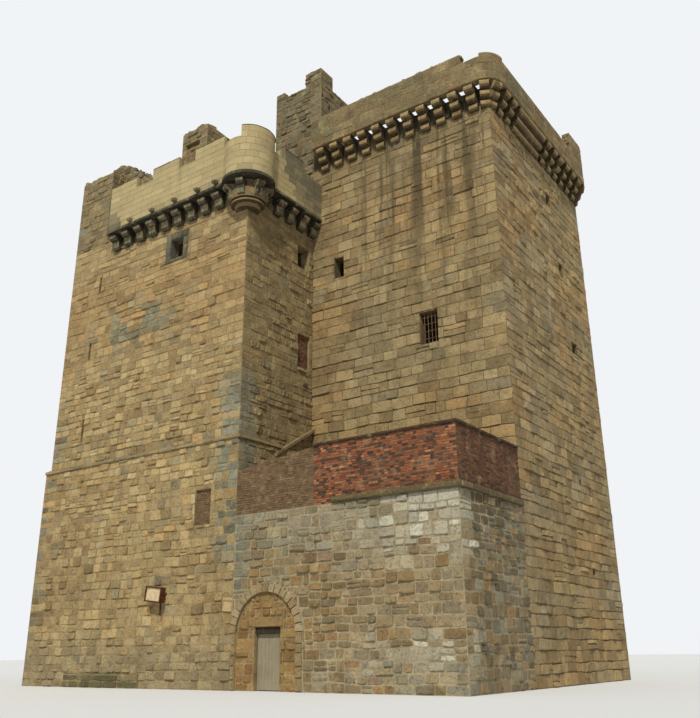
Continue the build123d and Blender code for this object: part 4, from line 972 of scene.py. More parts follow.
SURROUND = (surround_low.x, surround_high.x, surround_low.z, surround_high.z)
HALL_WINDOW = windows((-3.675, 15.70, 0.71, 0.88))
HALL_SLITS = windows((-8.25, 15.5, 0.12, 0.62), (-8.5, 12.45, 0.12, 0.76), (-8.43, 9.0, 0.12, 0.9))
BLOCKED = windows((-1.41, 5.10, 0.72, 1.18))[0]
RETURN_HOLES = windows((3.385, 15.5, 0.73, 0.95), (3.455, 11.3, 0.71, 1.35))
TOWER_HOLES = windows((1.315, 15.0, 0.45, 0.86), (5.24, 11.34, 0.73, 1.21))
SIDE_HOLES = windows((9.275, 18.35, 0.42, 0.56), (9.955, 15.4, 0.40, 0.56), (10.61, 12.18, 0.56, 0.50),
                     (9.64, 6.8, 0.18, 0.18), (10.05, 3.6, 0.18, 0.18))
REAR_HALL_HOLES = windows((-7.0, 11.6, 0.6, 1.2), (-3.8, 15.4, 0.6, 1.2))
REAR_TOWER_HOLES = windows((4.3, 11.4, 0.6, 1.2), (4.3, 15.0, 0.6, 1.2))
LEFT_SLITS = windows((4.2, 9.1, 0.16, 0.9), (8.2, 12.5, 0.16, 0.9))


# Hall walls

rng = random.Random(11)
stones = Stones("hall_front_stones", RUBBLE, "hall_stone", HALL_LOOK, hall_hue, rng)
stones.wall(line(LOW_LEFT, LOW_FRONT, SET_OFF, LOW_FRONT), plinth_low.z, string_low.z, quoins=BOTH,
            holes=moved([BLOCKED, (plinth_low.x, plinth_high.x, UNDER, plinth_high.z)], LOW_LEFT))
for look, foot, head in ((HALL_LOOK, string_high.z, LARGER_STONES), (HALL_HIGH_LOOK, LARGER_STONES, COURSE_FOOT)):
    stones.wall(line(HALL_LEFT, 0, 0, 0), foot, head, look, quoins=BOTH,
                holes=moved([SURROUND] + HALL_SLITS, HALL_LEFT))

stones = Stones("hall_left_stones", RUBBLE, "hall_stone", HIDDEN_LOOK, hall_hue, rng)
stones.wall(line(LOW_LEFT, LOW_BACK, LOW_LEFT, LOW_FRONT), 0.0, STRING_Z, quoins=BOTH, parity=1)
stones.wall(line(HALL_LEFT, REAR, HALL_LEFT, 0), STRING_Z, COURSE_FOOT, quoins=BOTH, parity=1,
            holes=moved(LEFT_SLITS, flip=REAR))

stones = Stones("rear_stones", RUBBLE, "hall_stone", TOWER_LOOK, tower_hue, rng)
stones.wall(line(0, LOW_BACK, LOW_LEFT, LOW_BACK), 0.0, STRING_Z, HIDDEN_LOOK, hall_hue, quoins=BOTH)
stones.wall(line(0, REAR, HALL_LEFT, REAR), STRING_Z, COURSE_FOOT, HIDDEN_LOOK, hall_hue, quoins=END,
            holes=moved(REAR_HALL_HOLES, flip=0))
stones.wall(line(TOWER_RIGHT, REAR, 0, REAR), 0.0, TOWER_TOP, quoins=START,
            holes=moved(REAR_TOWER_HOLES, flip=TOWER_RIGHT))
stones.wall(line(0, REAR, PARTY_X, REAR), HALL_TOP, TOWER_TOP, quoins=END)
stones.wall(line(PARTY_X, REAR, PARTY_X, CAP_BACK), HALL_TOP, TOWER_TOP, quoins=START, parity=1)

stones = Stones("return_stones", RETURN_STONE, "hall_stone", RETURN_LOOK, return_hue, rng)
stones.wall(line(SET_OFF, LOW_FRONT, SET_OFF, STEP_BACK), PORCH_TOP, STRING_Z, quoins=START, parity=1,
            holes=[(UNDER, string_high.y - LOW_FRONT, string_low.z, STRING_Z)])
stones.wall(line(0, 0, 0, STEP_BACK), STRING_Z, COURSE_FOOT, quoins=START, parity=1,
            holes=RETURN_HOLES + [(UNDER, string_high.y, STRING_Z, string_high.z)])

# Bands of dressed stone: string course, plinth, thin course under the parapets, porch roll

STRING_SPLAY = 0.02
stones = Stones("string_course_stones", RUBBLE, "grey_stone", BAND_LOOK, band_hue, rng)
stones.wall(line(LOW_LEFT, string_low.y, string_high.x, string_low.y, string_high.x, string_high.y), string_low.z,
            STRING_Z + STRING_SPLAY)
stones.wall(line(HALL_LEFT, LOW_FRONT, SET_OFF, LOW_FRONT, SET_OFF, string_high.y), STRING_Z + 2 * STRING_SPLAY,
            string_high.z)

stones = Stones("plinth_stones", RUBBLE, "grey_stone", PLINTH_LOOK, plinth_hue, rng)
stones.wall(line(plinth_low.x, plinth_low.y, plinth_high.x, plinth_low.y), 0.0, plinth_high.z)
stones.deck(plinth_high.z, plinth_low.x, plinth_high.x, plinth_low.y, LOW_FRONT, dict(PLINTH_LOOK, course=(0.2, 0.2)))


def round_turret(radius, out):
    """The turret's round of one radius, from where it meets the front to the return, which both stand out."""
    x = TURRET[0] - math.sqrt(radius ** 2 - (TURRET[1] + out) ** 2)
    y = TURRET[1] + math.sqrt(radius ** 2 - (out - TURRET[0]) ** 2)
    return x, y, (*TURRET, radius, -math.degrees(math.atan2(TURRET[1] + out, x - TURRET[0])),
                  math.degrees(math.atan2(y - TURRET[1], out - TURRET[0])))


stones = Stones("thin_course_slabs", SOOTED_STONE, "grey_stone", SLAB_LOOK, course_hue, rng)
out = HALL_OUT + COURSE_LEDGE
turn_x, turn_y, arc = round_turret(TURRET_R + COURSE_LEDGE, out)
stones.wall(Walk(*legs(PARAPET_START, -out, turn_x, -out), arc, *legs(out, turn_y, out, STEP_BACK)),
            COURSE_FOOT, HALL_TOP)
stones.wall(line(PARTY_X, REAR + out, HALL_LEFT - out, REAR + out, HALL_LEFT - out, GABLE_BACK), COURSE_FOOT, HALL_TOP)

stones = Stones("porch_roll_stones", RUBBLE, "mossy_stone", ROLL_LOOK, roll_hue, rng)
stones.wall(line(roll_low.x, roll_low.y, roll_high.x, roll_low.y, roll_high.x, STEP_BACK), PORCH_TOP, BRICK_FOOT)

# Tower walls

rng = random.Random(12)
stones = Stones("tower_front_stones", ASHLAR_FRONT, "tower_stone", TOWER_LOOK, tower_hue, rng)
stones.wall(line(0, STEP_BACK, TOWER_RIGHT, STEP_BACK), PORCH_TOP, TOWER_TOP, quoins=END, holes=TOWER_HOLES)
stones = Stones("tower_right_stones", ASHLAR, "tower_stone", TOWER_SIDE_LOOK, tower_hue, rng)
stones.wall(line(TOWER_RIGHT, STEP_BACK, TOWER_RIGHT, REAR), 0.0, TOWER_TOP, quoins=BOTH, parity=1,
            holes=moved(SIDE_HOLES, STEP_BACK))

# Porch walls

rng = random.Random(13)


def arch_rows(radius, count=18):
    """The arch's opening as many thin rectangles."""
    rows = [(ARCH_X - radius, ARCH_X + radius, UNDER, ARCH_SPRING)]
    for i in range(count):
        z0, z1 = (ARCH_SPRING + radius * k / count for k in (i, i + 1))
        half = math.sqrt(radius ** 2 - ((z0 + z1) / 2 - ARCH_SPRING) ** 2)
        rows.append((ARCH_X - half, ARCH_X + half, z0, z1))
    return rows


stones = Stones("porch_stones", RUBBLE, "porch_stone", PORCH_LOOK, porch_hue, rng)
stones.wall(line(SET_OFF, LOW_FRONT, TOWER_RIGHT, LOW_FRONT), 0.0, PORCH_TOP, quoins=BOTH,
            holes=moved(arch_rows(ARCH_OUTER + 0.02), SET_OFF))
stones.wall(line(TOWER_RIGHT, LOW_FRONT, TOWER_RIGHT, STEP_BACK), 0.0, PORCH_TOP, quoins=START, parity=1)

# Arch ring, its jambs and the infill round the door

stones = Stones("arch_stones", RUBBLE, "arch_stone", INFILL_LOOK, infill_hue, rng)
JOINT_ANGLE, JAMB_JOINT = 0.007, 0.006
JAMB_COURSE, DRESSED_RELIEF, CHAMFER, RAGGED = (0.26, 0.42), (0.03, 0.05), 0.02, 0.015
face = line(0, LOW_FRONT, TOWER_RIGHT, LOW_FRONT)
for i in range(VOUSSOIRS):
    a0 = math.pi * (1 - i / VOUSSOIRS) - JOINT_ANGLE
    a1 = math.pi * (1 - (i + 1) / VOUSSOIRS) + JOINT_ANGLE
    inner, outer = ARCH_INNER - 0.005, ARCH_OUTER + rng.uniform(-RAGGED, RAGGED)
    points = [(ARCH_X + r * math.cos(a), ARCH_SPRING + r * math.sin(a))
              for r, a in ((inner, a0), (inner, a1), (outer, a1), (outer, a0))]
    stones.slab(face, points, rng.uniform(*DRESSED_RELIEF), CHAMFER, arch_hue(None, rng))
for x0, x1 in ((ARCH_X - ARCH_OUTER, ARCH_X - ARCH_INNER), (ARCH_X + ARCH_INNER, ARCH_X + ARCH_OUTER)):
    for z0, z1 in pairs(split(0.0, ARCH_SPRING, *JAMB_COURSE, rng)):
        rect = (max(SET_OFF, x0) + JAMB_JOINT, x1 - JAMB_JOINT, z0 + JAMB_JOINT, z1 - JAMB_JOINT)
        stones.stone(face, rect, rng.uniform(*DRESSED_RELIEF), mix(arch_hue(None, rng), BROWN, 0.45), BAND_LOOK)
infill = line(0, INFILL_FACE, TOWER_RIGHT, INFILL_FACE)
outside = [(UNDER, FAR, ARCH_SPRING + ARCH_INNER - 0.03, FAR)]
for u0, u1, v0, v1 in arch_rows(ARCH_INNER - 0.01):
    outside += [(UNDER, u0, v0, v1), (u1, FAR, v0, v1)]
LINTEL = (DOOR_LEFT - 0.22, DOOR_RIGHT + 0.10, DOOR_HEAD, DOOR_HEAD + 0.30)
stones.lay(infill, (ARCH_X - ARCH_INNER, ARCH_X + ARCH_INNER, 0.0, ARCH_SPRING + ARCH_INNER),
           holes=outside + [LINTEL, (DOOR_LEFT, DOOR_RIGHT, UNDER, DOOR_HEAD)])
stones.stone(infill, LINTEL, 0.03, (0.58, 0.47, 0.30), BAND_LOOK)

# Bricks

rng = random.Random(14)
stones = Stones("red_bricks", BRICK, "red_brick", BRICK_LOOK, red_hue, rng)
for face, quoins in ((line(BRICK_JOINT, LOW_FRONT, TOWER_RIGHT, LOW_FRONT), END),
                     (line(TOWER_RIGHT, LOW_FRONT, TOWER_RIGHT, STEP_BACK), START),
                     (line(BRICK_IN_X, BRICK_IN_Y, BRICK_JOINT, BRICK_IN_Y), (0, 0)),
                     (line(BRICK_IN_X, STEP_BACK, BRICK_IN_X, BRICK_IN_Y), (0, 0))):
    stones.wall(face, BRICK_FOOT, BRICK_TOP, quoins=quoins)
stones.wall(line(BRICK_JOINT, LOW_FRONT, roll_low.x, LOW_FRONT), PORCH_TOP, BRICK_FOOT)

stones = Stones("coping_bricks", BRICK, "coping_stone", COPING_LOOK, coping_hue, rng)
x0, x1, y0, top = coping_low.x, coping_high.x, coping_low.y, coping_high.z
stones.wall(line(x0, y0, x1, y0, x1, STEP_BACK), coping_low.z, top)
stones.deck(top, x0, x1 - BRICK_WALL, y0, y0 + BRICK_WALL)
stones.deck(top, x1 - BRICK_WALL, x1, y0, STEP_BACK)

stones = Stones("brown_bricks", BRICK, "brown_brick", BRICK_LOOK, brown_hue, rng)


def brown_top(x):
    return BRICK_LOW + (BRICK_TOP - BRICK_LOW) * clamp((x - SET_OFF) / (BRICK_JOINT - SET_OFF))


stones.wall(line(SET_OFF, LOW_FRONT, BRICK_JOINT, LOW_FRONT), PORCH_TOP, BRICK_TOP,
            top=lambda u: brown_top(SET_OFF + u))
stones.wall(line(BRICK_JOINT, BRICK_IN_Y, SET_OFF, BRICK_IN_Y), PORCH_TOP, BRICK_TOP,
            top=lambda u: brown_top(BRICK_JOINT - u))
u0, u1, v0, v1 = BLOCKED
stones.wall(line(u0, LOW_FRONT + BLOCKED_RECESS, u1, LOW_FRONT + BLOCKED_RECESS), v0, v1)
u0, u1, v0, v1 = RETURN_HOLES[1]
stones.wall(line(-BLOCKED_RECESS, u0, -BLOCKED_RECESS, u1), v0, v1, hue=red_hue)


# Parapets, merlons and turret

rng = random.Random(15)
stones = Stones("hall_parapet_stones", CREAM_STONE, "parapet_stone", PARAPET_LOOK, parapet_hue, rng)
meet_x, meet_y, arc = round_turret(TURRET_R, HALL_OUT)
stones.crenels(line(PARAPET_START, -HALL_OUT, meet_x, -HALL_OUT), moved(FRONT_MERLONS, PARAPET_START), HALL_SILL,
               HALL_CROWN)
stones.crenels(line(meet_x, -HALL_IN, PARAPET_START, -HALL_IN), moved(FRONT_MERLONS, flip=meet_x), HALL_SILL,
               HALL_CROWN)
stones.crenels(Walk(arc), [[TURRET_R * math.radians(angle - arc[3]) for angle in TURRET_MERLON]], TURRET_SILL,
               TURRET_CROWN, TURRET_LOOK)
stones.crenels(line(HALL_OUT, meet_y, HALL_OUT, STEP_BACK), moved([RETURN_MERLON], meet_y), HALL_SILL, HALL_CROWN)
stones.crenels(line(HALL_IN, STEP_BACK, HALL_IN, meet_y), moved([RETURN_MERLON], flip=STEP_BACK), HALL_SILL,
               HALL_CROWN)
for a, b in FRONT_MERLONS:
    stones.dress((a, b, -HALL_OUT, -HALL_IN, HALL_SILL, HALL_CROWN), "left right top", TOP_LOOK)
stones.dress((HALL_IN, HALL_OUT, *RETURN_MERLON, HALL_SILL, HALL_CROWN), "front back top", TOP_LOOK)
for (_, a), (b, _) in pairs(FRONT_MERLONS):
    stones.deck(HALL_SILL, a, b, -HALL_OUT, -HALL_IN, TOP_LOOK)
for a, b in ((meet_y, RETURN_MERLON[0]), (RETURN_MERLON[1], STEP_BACK)):
    stones.deck(HALL_SILL, HALL_IN, HALL_OUT, a, b, TOP_LOOK)
stones.dress((PARAPET_START, PARAPET_START + 0.5, -HALL_OUT, -HALL_IN, HALL_TOP, HALL_SILL), "left", TOP_LOOK)

# Thin weathered slabs that cap the merlons
stones = Stones("merlon_caps", RUIN_STONE, "parapet_stone", CAP_LOOK, cap_hue, rng)
CAP_SLAB = 0.045
for face, crown in [(line(a, -HALL_OUT, b, -HALL_OUT), HALL_CROWN) for a, b in FRONT_MERLONS] + [
        (line(HALL_OUT, RETURN_MERLON[0], HALL_OUT, RETURN_MERLON[1]), HALL_CROWN),
        (Walk((*TURRET, TURRET_R, *TURRET_MERLON)), TURRET_CROWN)]:
    stones.wall(face, crown - CAP_SLAB, crown)

stones = Stones("hall_back_parapet_stones", ASHLAR, "parapet_stone", TOWER_PARAPET_LOOK, tower_parapet_hue, rng)
left_out, rear_out = HALL_LEFT - HALL_OUT, REAR + HALL_OUT
left_in, rear_in = HALL_LEFT - HALL_IN, REAR + HALL_IN


def hidden_merlons(first, last):
    return [(x - HIDDEN_HALF, x + HIDDEN_HALF) for x in spread(first, last, HIDDEN_PITCH)]


along_y = hidden_merlons(GABLE_BACK + HIDDEN_PITCH / 2, REAR - HIDDEN_PITCH / 2)
along_x = hidden_merlons(HALL_LEFT + HIDDEN_PITCH / 2, PARTY_X - HIDDEN_PITCH / 2)
for face, standing in ((line(left_out, rear_out, left_out, GABLE_BACK), moved(along_y, flip=rear_out)),
                       (line(left_in, GABLE_BACK, left_in, rear_in), moved(along_y, GABLE_BACK)),
                       (line(PARTY_X, rear_out, left_out, rear_out), moved(along_x, flip=PARTY_X)),
                       (line(left_in, rear_in, PARTY_X, rear_in), moved(along_x, left_in))):
    stones.crenels(face, standing, HALL_SILL, HALL_CROWN)
for a, b in along_y:
    stones.dress((left_out, left_in, a, b, HALL_SILL, HALL_CROWN), "front back top")
for a, b in along_x:
    stones.dress((a, b, rear_in, rear_out, HALL_SILL, HALL_CROWN), "left right top")

# Tower parapet: front, round corner, right side, round corner, rear and left
stones = Stones("tower_parapet_stones", ASHLAR, "parapet_stone", TOWER_PARAPET_LOOK, tower_parapet_hue, rng)
x_out, y_front = TOWER_RIGHT + TOWER_OUT, STEP_BACK - TOWER_OUT
y_back, x_left = REAR + TOWER_OUT, PARTY_X - TOWER_OUT
turn_x, turn_front, turn_back = x_out - CORNER_R, y_front + CORNER_R, y_back - CORNER_R
ring = Walk((RING_START, y_front, turn_x, y_front), (turn_x, turn_front, CORNER_R, -90, 0),
            (x_out, turn_front, x_out, turn_back), (turn_x, turn_back, CORNER_R, 0, 90),
            (turn_x, y_back, x_left, y_back), (x_left, y_back, x_left, CAP_BACK))
arc_start = turn_x - RING_START
side_start = arc_start + CORNER_R * math.pi / 2
rear_start = side_start + turn_back - turn_front + CORNER_R * math.pi / 2
left_start = rear_start + turn_x - x_left
standing = [(arc_start + CORNER_R * math.asin((CORNER_START - turn_x) / CORNER_R), side_start, CORNER_CROWN),
            (0.0, FRONT_END - RING_START, TOWER_CROWN), (side_start + REAR_START - turn_front, rear_start, REAR_CROWN)]
for first, places in (
        (rear_start + turn_x, spread(x_left + HIDDEN_PITCH / 2, TOWER_RIGHT - HIDDEN_PITCH, HIDDEN_PITCH)),
        (left_start + y_back, spread(CAP_BACK + HIDDEN_PITCH / 2, REAR - HIDDEN_PITCH / 2, HIDDEN_PITCH))):
    standing += [(first - place - HIDDEN_HALF, first - place + HIDDEN_HALF, TOWER_CROWN) for place in places]
CROWN_WEAR, CROWN_RHYTHM = 0.05, 4.3
stones.wall(ring, TOWER_TOP, TOWER_SILL)
for a, b, crown in standing:
    stones.lay(ring, (a, b, TOWER_SILL, crown), top=lambda u: crown - CROWN_WEAR * abs(math.sin(u * CROWN_RHYTHM)))
inner_left, inner_right = PARTY_X - TOWER_IN, TOWER_RIGHT + TOWER_IN
inner_front, inner_back = STEP_BACK - TOWER_IN, REAR + TOWER_IN
CAP_MEETS = 0.63
for ends in ((inner_left, CAP_BACK, inner_left, inner_back), (inner_left, inner_back, turn_x, inner_back),
             (inner_right, turn_back, inner_right, turn_front), (turn_x, inner_front, CAP_MEETS, inner_front)):
    stones.wall(line(*ends), TOWER_TOP, TOWER_SILL)

# Broken tops of the tower's parapet, a rough layer of rubble and old mortar
for rect, level in (((RING_START, FRONT_END, y_front, inner_front), TOWER_CROWN),
                    ((FRONT_END, turn_x, y_front, inner_front), TOWER_SILL),
                    ((inner_right, x_out, turn_front, REAR_START), TOWER_SILL),
                    ((inner_right, x_out, REAR_START, turn_back), REAR_CROWN),
                    ((inner_left, turn_x, inner_back, y_back), TOWER_SILL),
                    ((x_left, inner_left, CAP_BACK, inner_back), TOWER_SILL)):
    stones.deck(level, *rect, BROKEN_LOOK)
stones.wall(line(FRONT_END, y_front, FRONT_END, inner_front), TOWER_SILL, TOWER_CROWN, BROKEN_LOOK)
stones.wall(line(inner_right, REAR_START, x_out, REAR_START), TOWER_SILL, REAR_CROWN, BROKEN_LOOK)


# Ruined parts above the roofs

rng = random.Random(16)
stones = Stones("cap_house_stones", RUIN_STONE, "tower_stone", RUIN_LOOK, ruin_hue, rng)


def cap_front_top(u):
    x = CAP_LEFT + u
    if x > CAP_STEP:
        return CAP_CROWN
    return CAP_TOP + (CAP_LEFT_RISE if x < CAP_LEFT + CAP_WALL else 0.0)


stones.wall(line(CAP_LEFT, STEP_BACK, CAP_RIGHT, STEP_BACK), HALL_TOP, CAP_CROWN, quoins=BOTH, top=cap_front_top,
            holes=[(-CAP_LEFT, FAR, HALL_TOP, TOWER_TOP)])
face = line(CAP_RIGHT, STEP_BACK, CAP_RIGHT, CAP_BACK)
# Where a stone has fallen out, a thin near-black stone paints the shade of the hollow
missing = [(0.04, 0.20, 24.06, 24.24), (0.52, 0.70, 23.70, 23.86), (1.10, 1.24, 22.70, 22.84)]
stones.wall(face, TOWER_TOP, CAP_CROWN, quoins=BOTH, parity=1, holes=missing,
            top=lambda u: CAP_CROWN if u < CAP_HIGH_DEPTH else CAP_TOP)
for rect in missing:
    stones.stone(face, rect, 0.003, HOLLOW_SHADE, RUIN_LOOK)
doorway = (0.45, 1.20, TOWER_TOP, TOWER_TOP + 1.85)
stones.wall(line(CAP_RIGHT, CAP_BACK, CAP_LEFT, CAP_BACK), HALL_TOP, CAP_TOP, quoins=BOTH,
            holes=[(0, CAP_RIGHT - PARTY_X, HALL_TOP, TOWER_TOP), doorway])
stones.wall(line(CAP_LEFT, CAP_BACK, CAP_LEFT, STEP_BACK), HALL_TOP, CAP_TOP + CAP_LEFT_RISE, quoins=BOTH, parity=1)
in_left, in_right = CAP_LEFT + CAP_WALL, CAP_RIGHT - CAP_WALL
in_front, high_back = STEP_BACK + CAP_WALL, STEP_BACK + CAP_HIGH_DEPTH
for rect, level, look in (((CAP_STEP, CAP_RIGHT, STEP_BACK, in_front), CAP_CROWN, LOW_BROKEN_LOOK),
                          ((in_right, CAP_RIGHT, in_front, high_back), CAP_CROWN, LOW_BROKEN_LOOK),
                          ((in_left, CAP_STEP, STEP_BACK, in_front), CAP_TOP, BROKEN_LOOK),
                          ((in_right, CAP_RIGHT, high_back, CAP_BACK), CAP_TOP, BROKEN_LOOK),
                          ((in_left, in_right, CAP_BACK - CAP_WALL, CAP_BACK), CAP_TOP, BROKEN_LOOK),
                          ((CAP_LEFT, in_left, STEP_BACK, CAP_BACK), CAP_TOP + CAP_LEFT_RISE, BROKEN_LOOK)):
    stones.deck(level, *rect, look)
stones.dress((CAP_STEP, CAP_RIGHT, STEP_BACK, in_front, CAP_TOP, CAP_CROWN), "left", BROKEN_LOOK)

stones = Stones("roof_stub_stones", RUIN_STONE, "hall_stone", RUIN_LOOK, ruin_hue, rng)
eave = HALL_TOP + GABLE_SKYLINE[0][1]
stones.wall(line(HALL_LEFT, 0, PARAPET_START, 0), COURSE_FOOT, HALL_TOP, hue=stack_hue)
stones.wall(line(HALL_LEFT, GABLE_BACK, HALL_LEFT, 0), COURSE_FOOT, eave, quoins=END, parity=1,
            top=lambda u: eave if u < GABLE_BACK - STACK_BACK else STACK_TOP)
stones.dress((HALL_LEFT, STACK_RIGHT, 0, STACK_BACK, HALL_TOP, STACK_TOP), "front right", hue=stack_hue)
stones.deck(STACK_TOP, HALL_LEFT, STACK_RIGHT, 0, STACK_BACK, HEAPED_LOOK, stack_hue)


def gable_top(u):
    for (a, p), (b, q) in pairs(GABLE_SKYLINE):
        if a <= u <= b:
            return HALL_TOP + p + (q - p) * (u - a) / (b - a)
    return HALL_TOP


stones.wall(line(HALL_LEFT, STACK_BACK, GABLE_RIGHT, STACK_BACK), HALL_TOP, gable_high.z, top=gable_top,
            holes=[(UNDER, STACK_RIGHT - HALL_LEFT, 0, STACK_TOP)])
stones.wall(line(GABLE_RIGHT, GABLE_BACK, HALL_LEFT, GABLE_BACK), HALL_TOP, gable_high.z,
            top=lambda u: gable_top(GABLE_LONG - u))
for (a, p), (b, q) in pairs(GABLE_SKYLINE):
    slope = Slope(HALL_LEFT + a, HALL_TOP + p, HALL_LEFT + b, HALL_TOP + q)
    stones.lay(slope, (0, slope.length, STACK_BACK, GABLE_BACK), HEAPED_LOOK)
garret = (garret_low.x, garret_high.x, garret_low.y, garret_high.y)
slot = (0.23, 1.07, garret_high.z - 0.88, garret_high.z - 0.62)
stones.dress((*garret, HALL_TOP, garret_high.z), "front", hue=stack_hue, holes=[slot])
stones.dress((*garret, HALL_TOP, garret_high.z), "right back left", hue=stack_hue)
stones.deck(garret_high.z, *garret, HEAPED_LOOK, stack_hue)

# Roof flags
stones = Stones("roof_flags", FLAGS, "floor_stone", FLAG_LOOK, flag_hue, random.Random(17))
stones.deck(HALL_TOP, HALL_LEFT, PARTY_X, -HALL_IN, REAR + HALL_IN,
            holes=[(HALL_LEFT, STACK_RIGHT, UNDER, STACK_BACK), (HALL_LEFT, GABLE_RIGHT, STACK_BACK, GABLE_BACK),
                   garret, (CAP_LEFT, PARTY_X, STEP_BACK, CAP_BACK)])
stones.deck(HALL_TOP, PARTY_X, HALL_IN, -HALL_IN, STEP_BACK)
stones.deck(TOWER_TOP, CAP_RIGHT, TOWER_RIGHT, STEP_BACK, REAR)
stones.deck(TOWER_TOP, PARTY_X, CAP_RIGHT, CAP_BACK, REAR)
stones.deck(PORCH_TOP, SET_OFF, BRICK_IN_X, BRICK_IN_Y, STEP_BACK)

# Blocks of the window's dressed surround
stones = Stones("surround_stones", RUBBLE, "grey_stone", SURROUND_LOOK, surround_hue, random.Random(19))
stones.wall(line(SURROUND[0], surround_low.y, SURROUND[1], surround_low.y), *SURROUND[2:],
            holes=moved(HALL_WINDOW, SURROUND[0]))


# Fittings


def rod(points, radius, sides, wobble, rng):
    """A bent bar through several points, as vertices and faces."""
    verts = []
    for i, p in enumerate(points):
        along = (Vector(points[min(len(points) - 1, i + 1)]) - Vector(points[max(0, i - 1)])).normalized()
        side = along.cross(Vector((0.3, 0.9, 0.2))).normalized()
        over = along.cross(side)
        r = radius * (1 + rng.uniform(-wobble, wobble))
        for k in range(sides):
            t = 2 * math.pi * k / sides
            verts.append(Vector(p) + side * r * math.cos(t) + over * r * math.sin(t))
    return verts, closed_tube(sides, len(points))


# Iron bars of the tower's lower front window, four upright and four across
rng = random.Random(18)
bars = Stones("window_bars", BAR_IRON, "iron")
u0, u1, v0, v1 = TOWER_HOLES[1]
BARS, CROSS_BARS, BAR_STEPS, BAR_WOBBLE = 4, (0.22, 0.50, 0.78, 1.04), 8, 0.12
for i in range(BARS):
    x = u0 + (u1 - u0) * (i + 1) / (BARS + 1)
    points = [(x + rng.uniform(-0.004, 0.004), STEP_BACK + 0.10, v0 + (v1 - v0) * k / BAR_STEPS)
              for k in range(BAR_STEPS + 1)]
    bars.solid(*rod(points, 0.016, 8, BAR_WOBBLE, rng), RUST)
for z in CROSS_BARS:
    points = [(u0 + (u1 - u0) * k / BAR_STEPS, STEP_BACK + 0.12, v0 + z) for k in range(BAR_STEPS + 1)]
    bars.solid(*rod(points, 0.012, 6, BAR_WOBBLE, rng), RUST)

# Water spouts of worn stone at the foot of the hall's front parapet, each with a channel in its top
spouts = Stones("water_spouts", RUIN_STONE, "corbel_stone")
SPOUTS_X, SPOUT_STEPS, SPOUT_WEAR = (-6.07, -4.75, -3.44, -2.17, -1.22), 5, 0.006
for x in SPOUTS_X:
    reach = rng.uniform(0.20, 0.26)
    verts = []
    for k in range(SPOUT_STEPS + 1):
        t = k / SPOUT_STEPS
        y = -HALL_OUT + 0.03 - reach * t
        half = 0.10 - 0.025 * t
        low = HALL_TOP + 0.03 - 0.03 * t + 0.03 * t * t
        high = HALL_TOP + 0.20 - 0.05 * t
        section = ((-half * 0.7, low), (half * 0.7, low), (half, low + 0.05), (half, high), (half * 0.45, high),
                   (half * 0.35, high - 0.05), (-half * 0.35, high - 0.05), (-half * 0.45, high), (-half, high),
                   (-half, low + 0.05))
        verts += [(x + a + rng.uniform(-SPOUT_WEAR, SPOUT_WEAR), y, z + rng.uniform(-SPOUT_WEAR, SPOUT_WEAR))
                  for a, z in section]
    spouts.solid(verts, closed_tube(len(section), SPOUT_STEPS + 1), vary((0.42, 0.39, 0.31), rng, 0.1), rng.random())

# Lamp panel: a thin curled sheet inside the iron frame, which leans by seven degrees
panel = Stones("lamp_sheet", PANEL, "iron")
middle = Vector((-3.20, plan_box("lamp_frame")[0].y + 0.030, 2.93))
lean = Matrix.Rotation(math.radians(7), 3, "Y")
half_x, half_z, thick, curl, cells = 0.345, 0.215, 0.006, 0.008, 8
verts, faces = [], []
for side in (0, 1):
    for i in range(cells + 1):
        for j in range(cells + 1):
            a, b = 2 * i / cells - 1, 2 * j / cells - 1
            bulge = curl * noise.noise(Vector((a * 2, b * 2, 1.0)))
            verts.append(middle + lean @ Vector((a * half_x, bulge + side * thick, b * half_z)))
row, sheet = cells + 1, (cells + 1) ** 2
for i in range(cells):
    for j in range(cells):
        a = i * row + j
        faces.append((a, a + row, a + row + 1, a + 1))
        faces.append((sheet + a, sheet + a + 1, sheet + a + row + 1, sheet + a + row))
for i in range(cells):
    for a, b in ((i * row, (i + 1) * row), ((i + 1) * row + cells, i * row + cells),
                 (i + 1, i), (cells * row + i, cells * row + i + 1)):
        faces.append((a, b, sheet + b, sheet + a))
panel.solid(verts, faces, LAMP_PAINT)

# Boards of the door leaf
boards = Stones("door_boards", DOOR_PAINT, "door_wood", BOARD_LOOK, lambda p, rng: PALE, rng, "door")
SIDE_MARGIN, END_MARGIN = 0.02, 0.01
boards.wall(line(DOOR_LEFT + SIDE_MARGIN, leaf_low.y, DOOR_RIGHT - SIDE_MARGIN, leaf_low.y),
            leaf_low.z + END_MARGIN, leaf_high.z - END_MARGIN)

for piece in Stones.pieces:
    piece.build()


# Camera, floor and light

scene = bpy.context.scene
scene.view_settings.view_transform = "Standard"

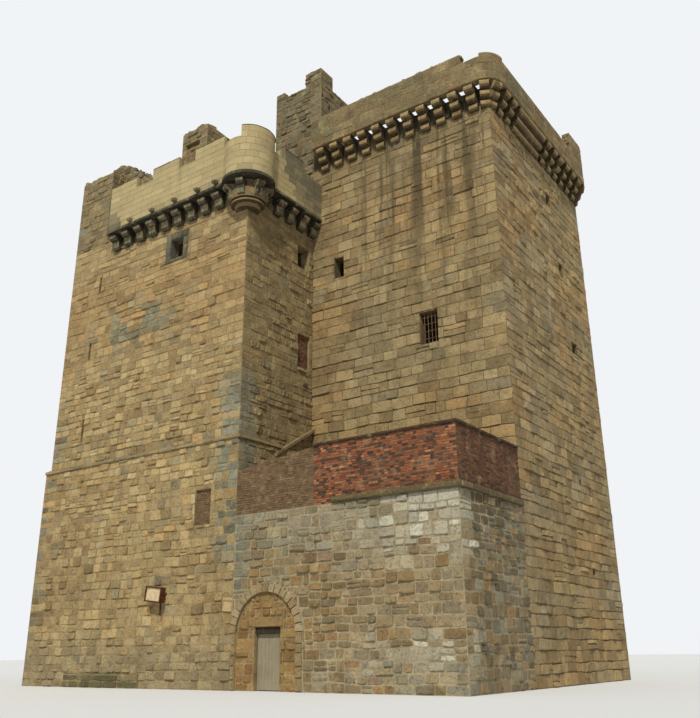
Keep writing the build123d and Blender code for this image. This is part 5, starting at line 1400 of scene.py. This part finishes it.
SENSOR, FOCAL_PIXELS, PICTURE_HIGH = 36.0, 813.04, 718
CAMERA_PLACE = Vector((18.264, -19.699, 1.066))
yaw, pitch, roll = math.radians(34.78), math.radians(19.82), math.radians(-0.565)
right = Vector((math.cos(yaw), math.sin(yaw), 0))
ahead = Vector((-math.sin(yaw), math.cos(yaw), 0))
up = Vector((0, 0, 1))
ahead, up = ahead * math.cos(pitch) + up * math.sin(pitch), up * math.cos(pitch) - ahead * math.sin(pitch)
right, up = right * math.cos(roll) + up * math.sin(roll), up * math.cos(roll) - right * math.sin(roll)
camera_data = bpy.data.cameras.new("camera")
camera_data.sensor_width = SENSOR
camera_data.lens = SENSOR * FOCAL_PIXELS / PICTURE_HIGH
camera_data.clip_end = 500
camera = bpy.data.objects.new("camera", camera_data)
turn = Matrix((right, up, -ahead)).transposed().to_4x4()
camera.matrix_world = Matrix.Translation(CAMERA_PLACE + PLAN_ZERO) @ turn
scene.collection.objects.link(camera)
scene.camera = camera

floor_mesh = bpy.data.meshes.new("floor")
FLOOR_HALF, FLOOR_Z = 160, -0.002
corners = [(x * FLOOR_HALF, y * FLOOR_HALF, FLOOR_Z) for x, y in ((-1, -1), (1, -1), (1, 1), (-1, 1))]
floor_mesh.from_pydata(corners, [], [(0, 1, 2, 3)])
ground = Material("floor")
plug(ground.tree, ground.shader, {"Base Color": paint((0.83, 0.83, 0.82)), "Roughness": 0.9})
floor_mesh.materials.append(ground.material)
floor = bpy.data.objects.new("floor", floor_mesh)
scene.collection.objects.link(floor)

# The sky lights the building dimly, and is paler where the camera sees it
world = bpy.data.worlds.new("world")
scene.world = world
world.use_nodes = True
tree = world.node_tree
tree.nodes.clear()
light = add_node(tree, "Background", {"Color": (0.86, 0.92, 1.0, 1), "Strength": 0.45})
shown = add_node(tree, "Background", {"Color": (0.88, 0.90, 0.92, 1), "Strength": 1.0})
path = add_node(tree, "LightPath")
either = add_node(tree, "Math", {0: path.outputs["Is Camera Ray"], 1: path.outputs["Is Glossy Ray"]},
                  operation="MAXIMUM")
join = add_node(tree, "MixShader", {"Fac": either.outputs[0], 1: light.outputs["Background"],
                                    2: shown.outputs["Background"]})
add_node(tree, "OutputWorld", {"Surface": join.outputs["Shader"]})

sun = bpy.data.lights.new("key", "SUN")
sun.energy = 3.1
sun.angle = math.radians(3)
sun.color = (1.0, 0.97, 0.90)
lamp = bpy.data.objects.new("key", sun)
lamp.rotation_mode = "QUATERNION"
lamp.rotation_quaternion = Vector((-0.283, 0.606, -0.743)).to_track_quat("-Z", "Y")
scene.collection.objects.link(lamp)
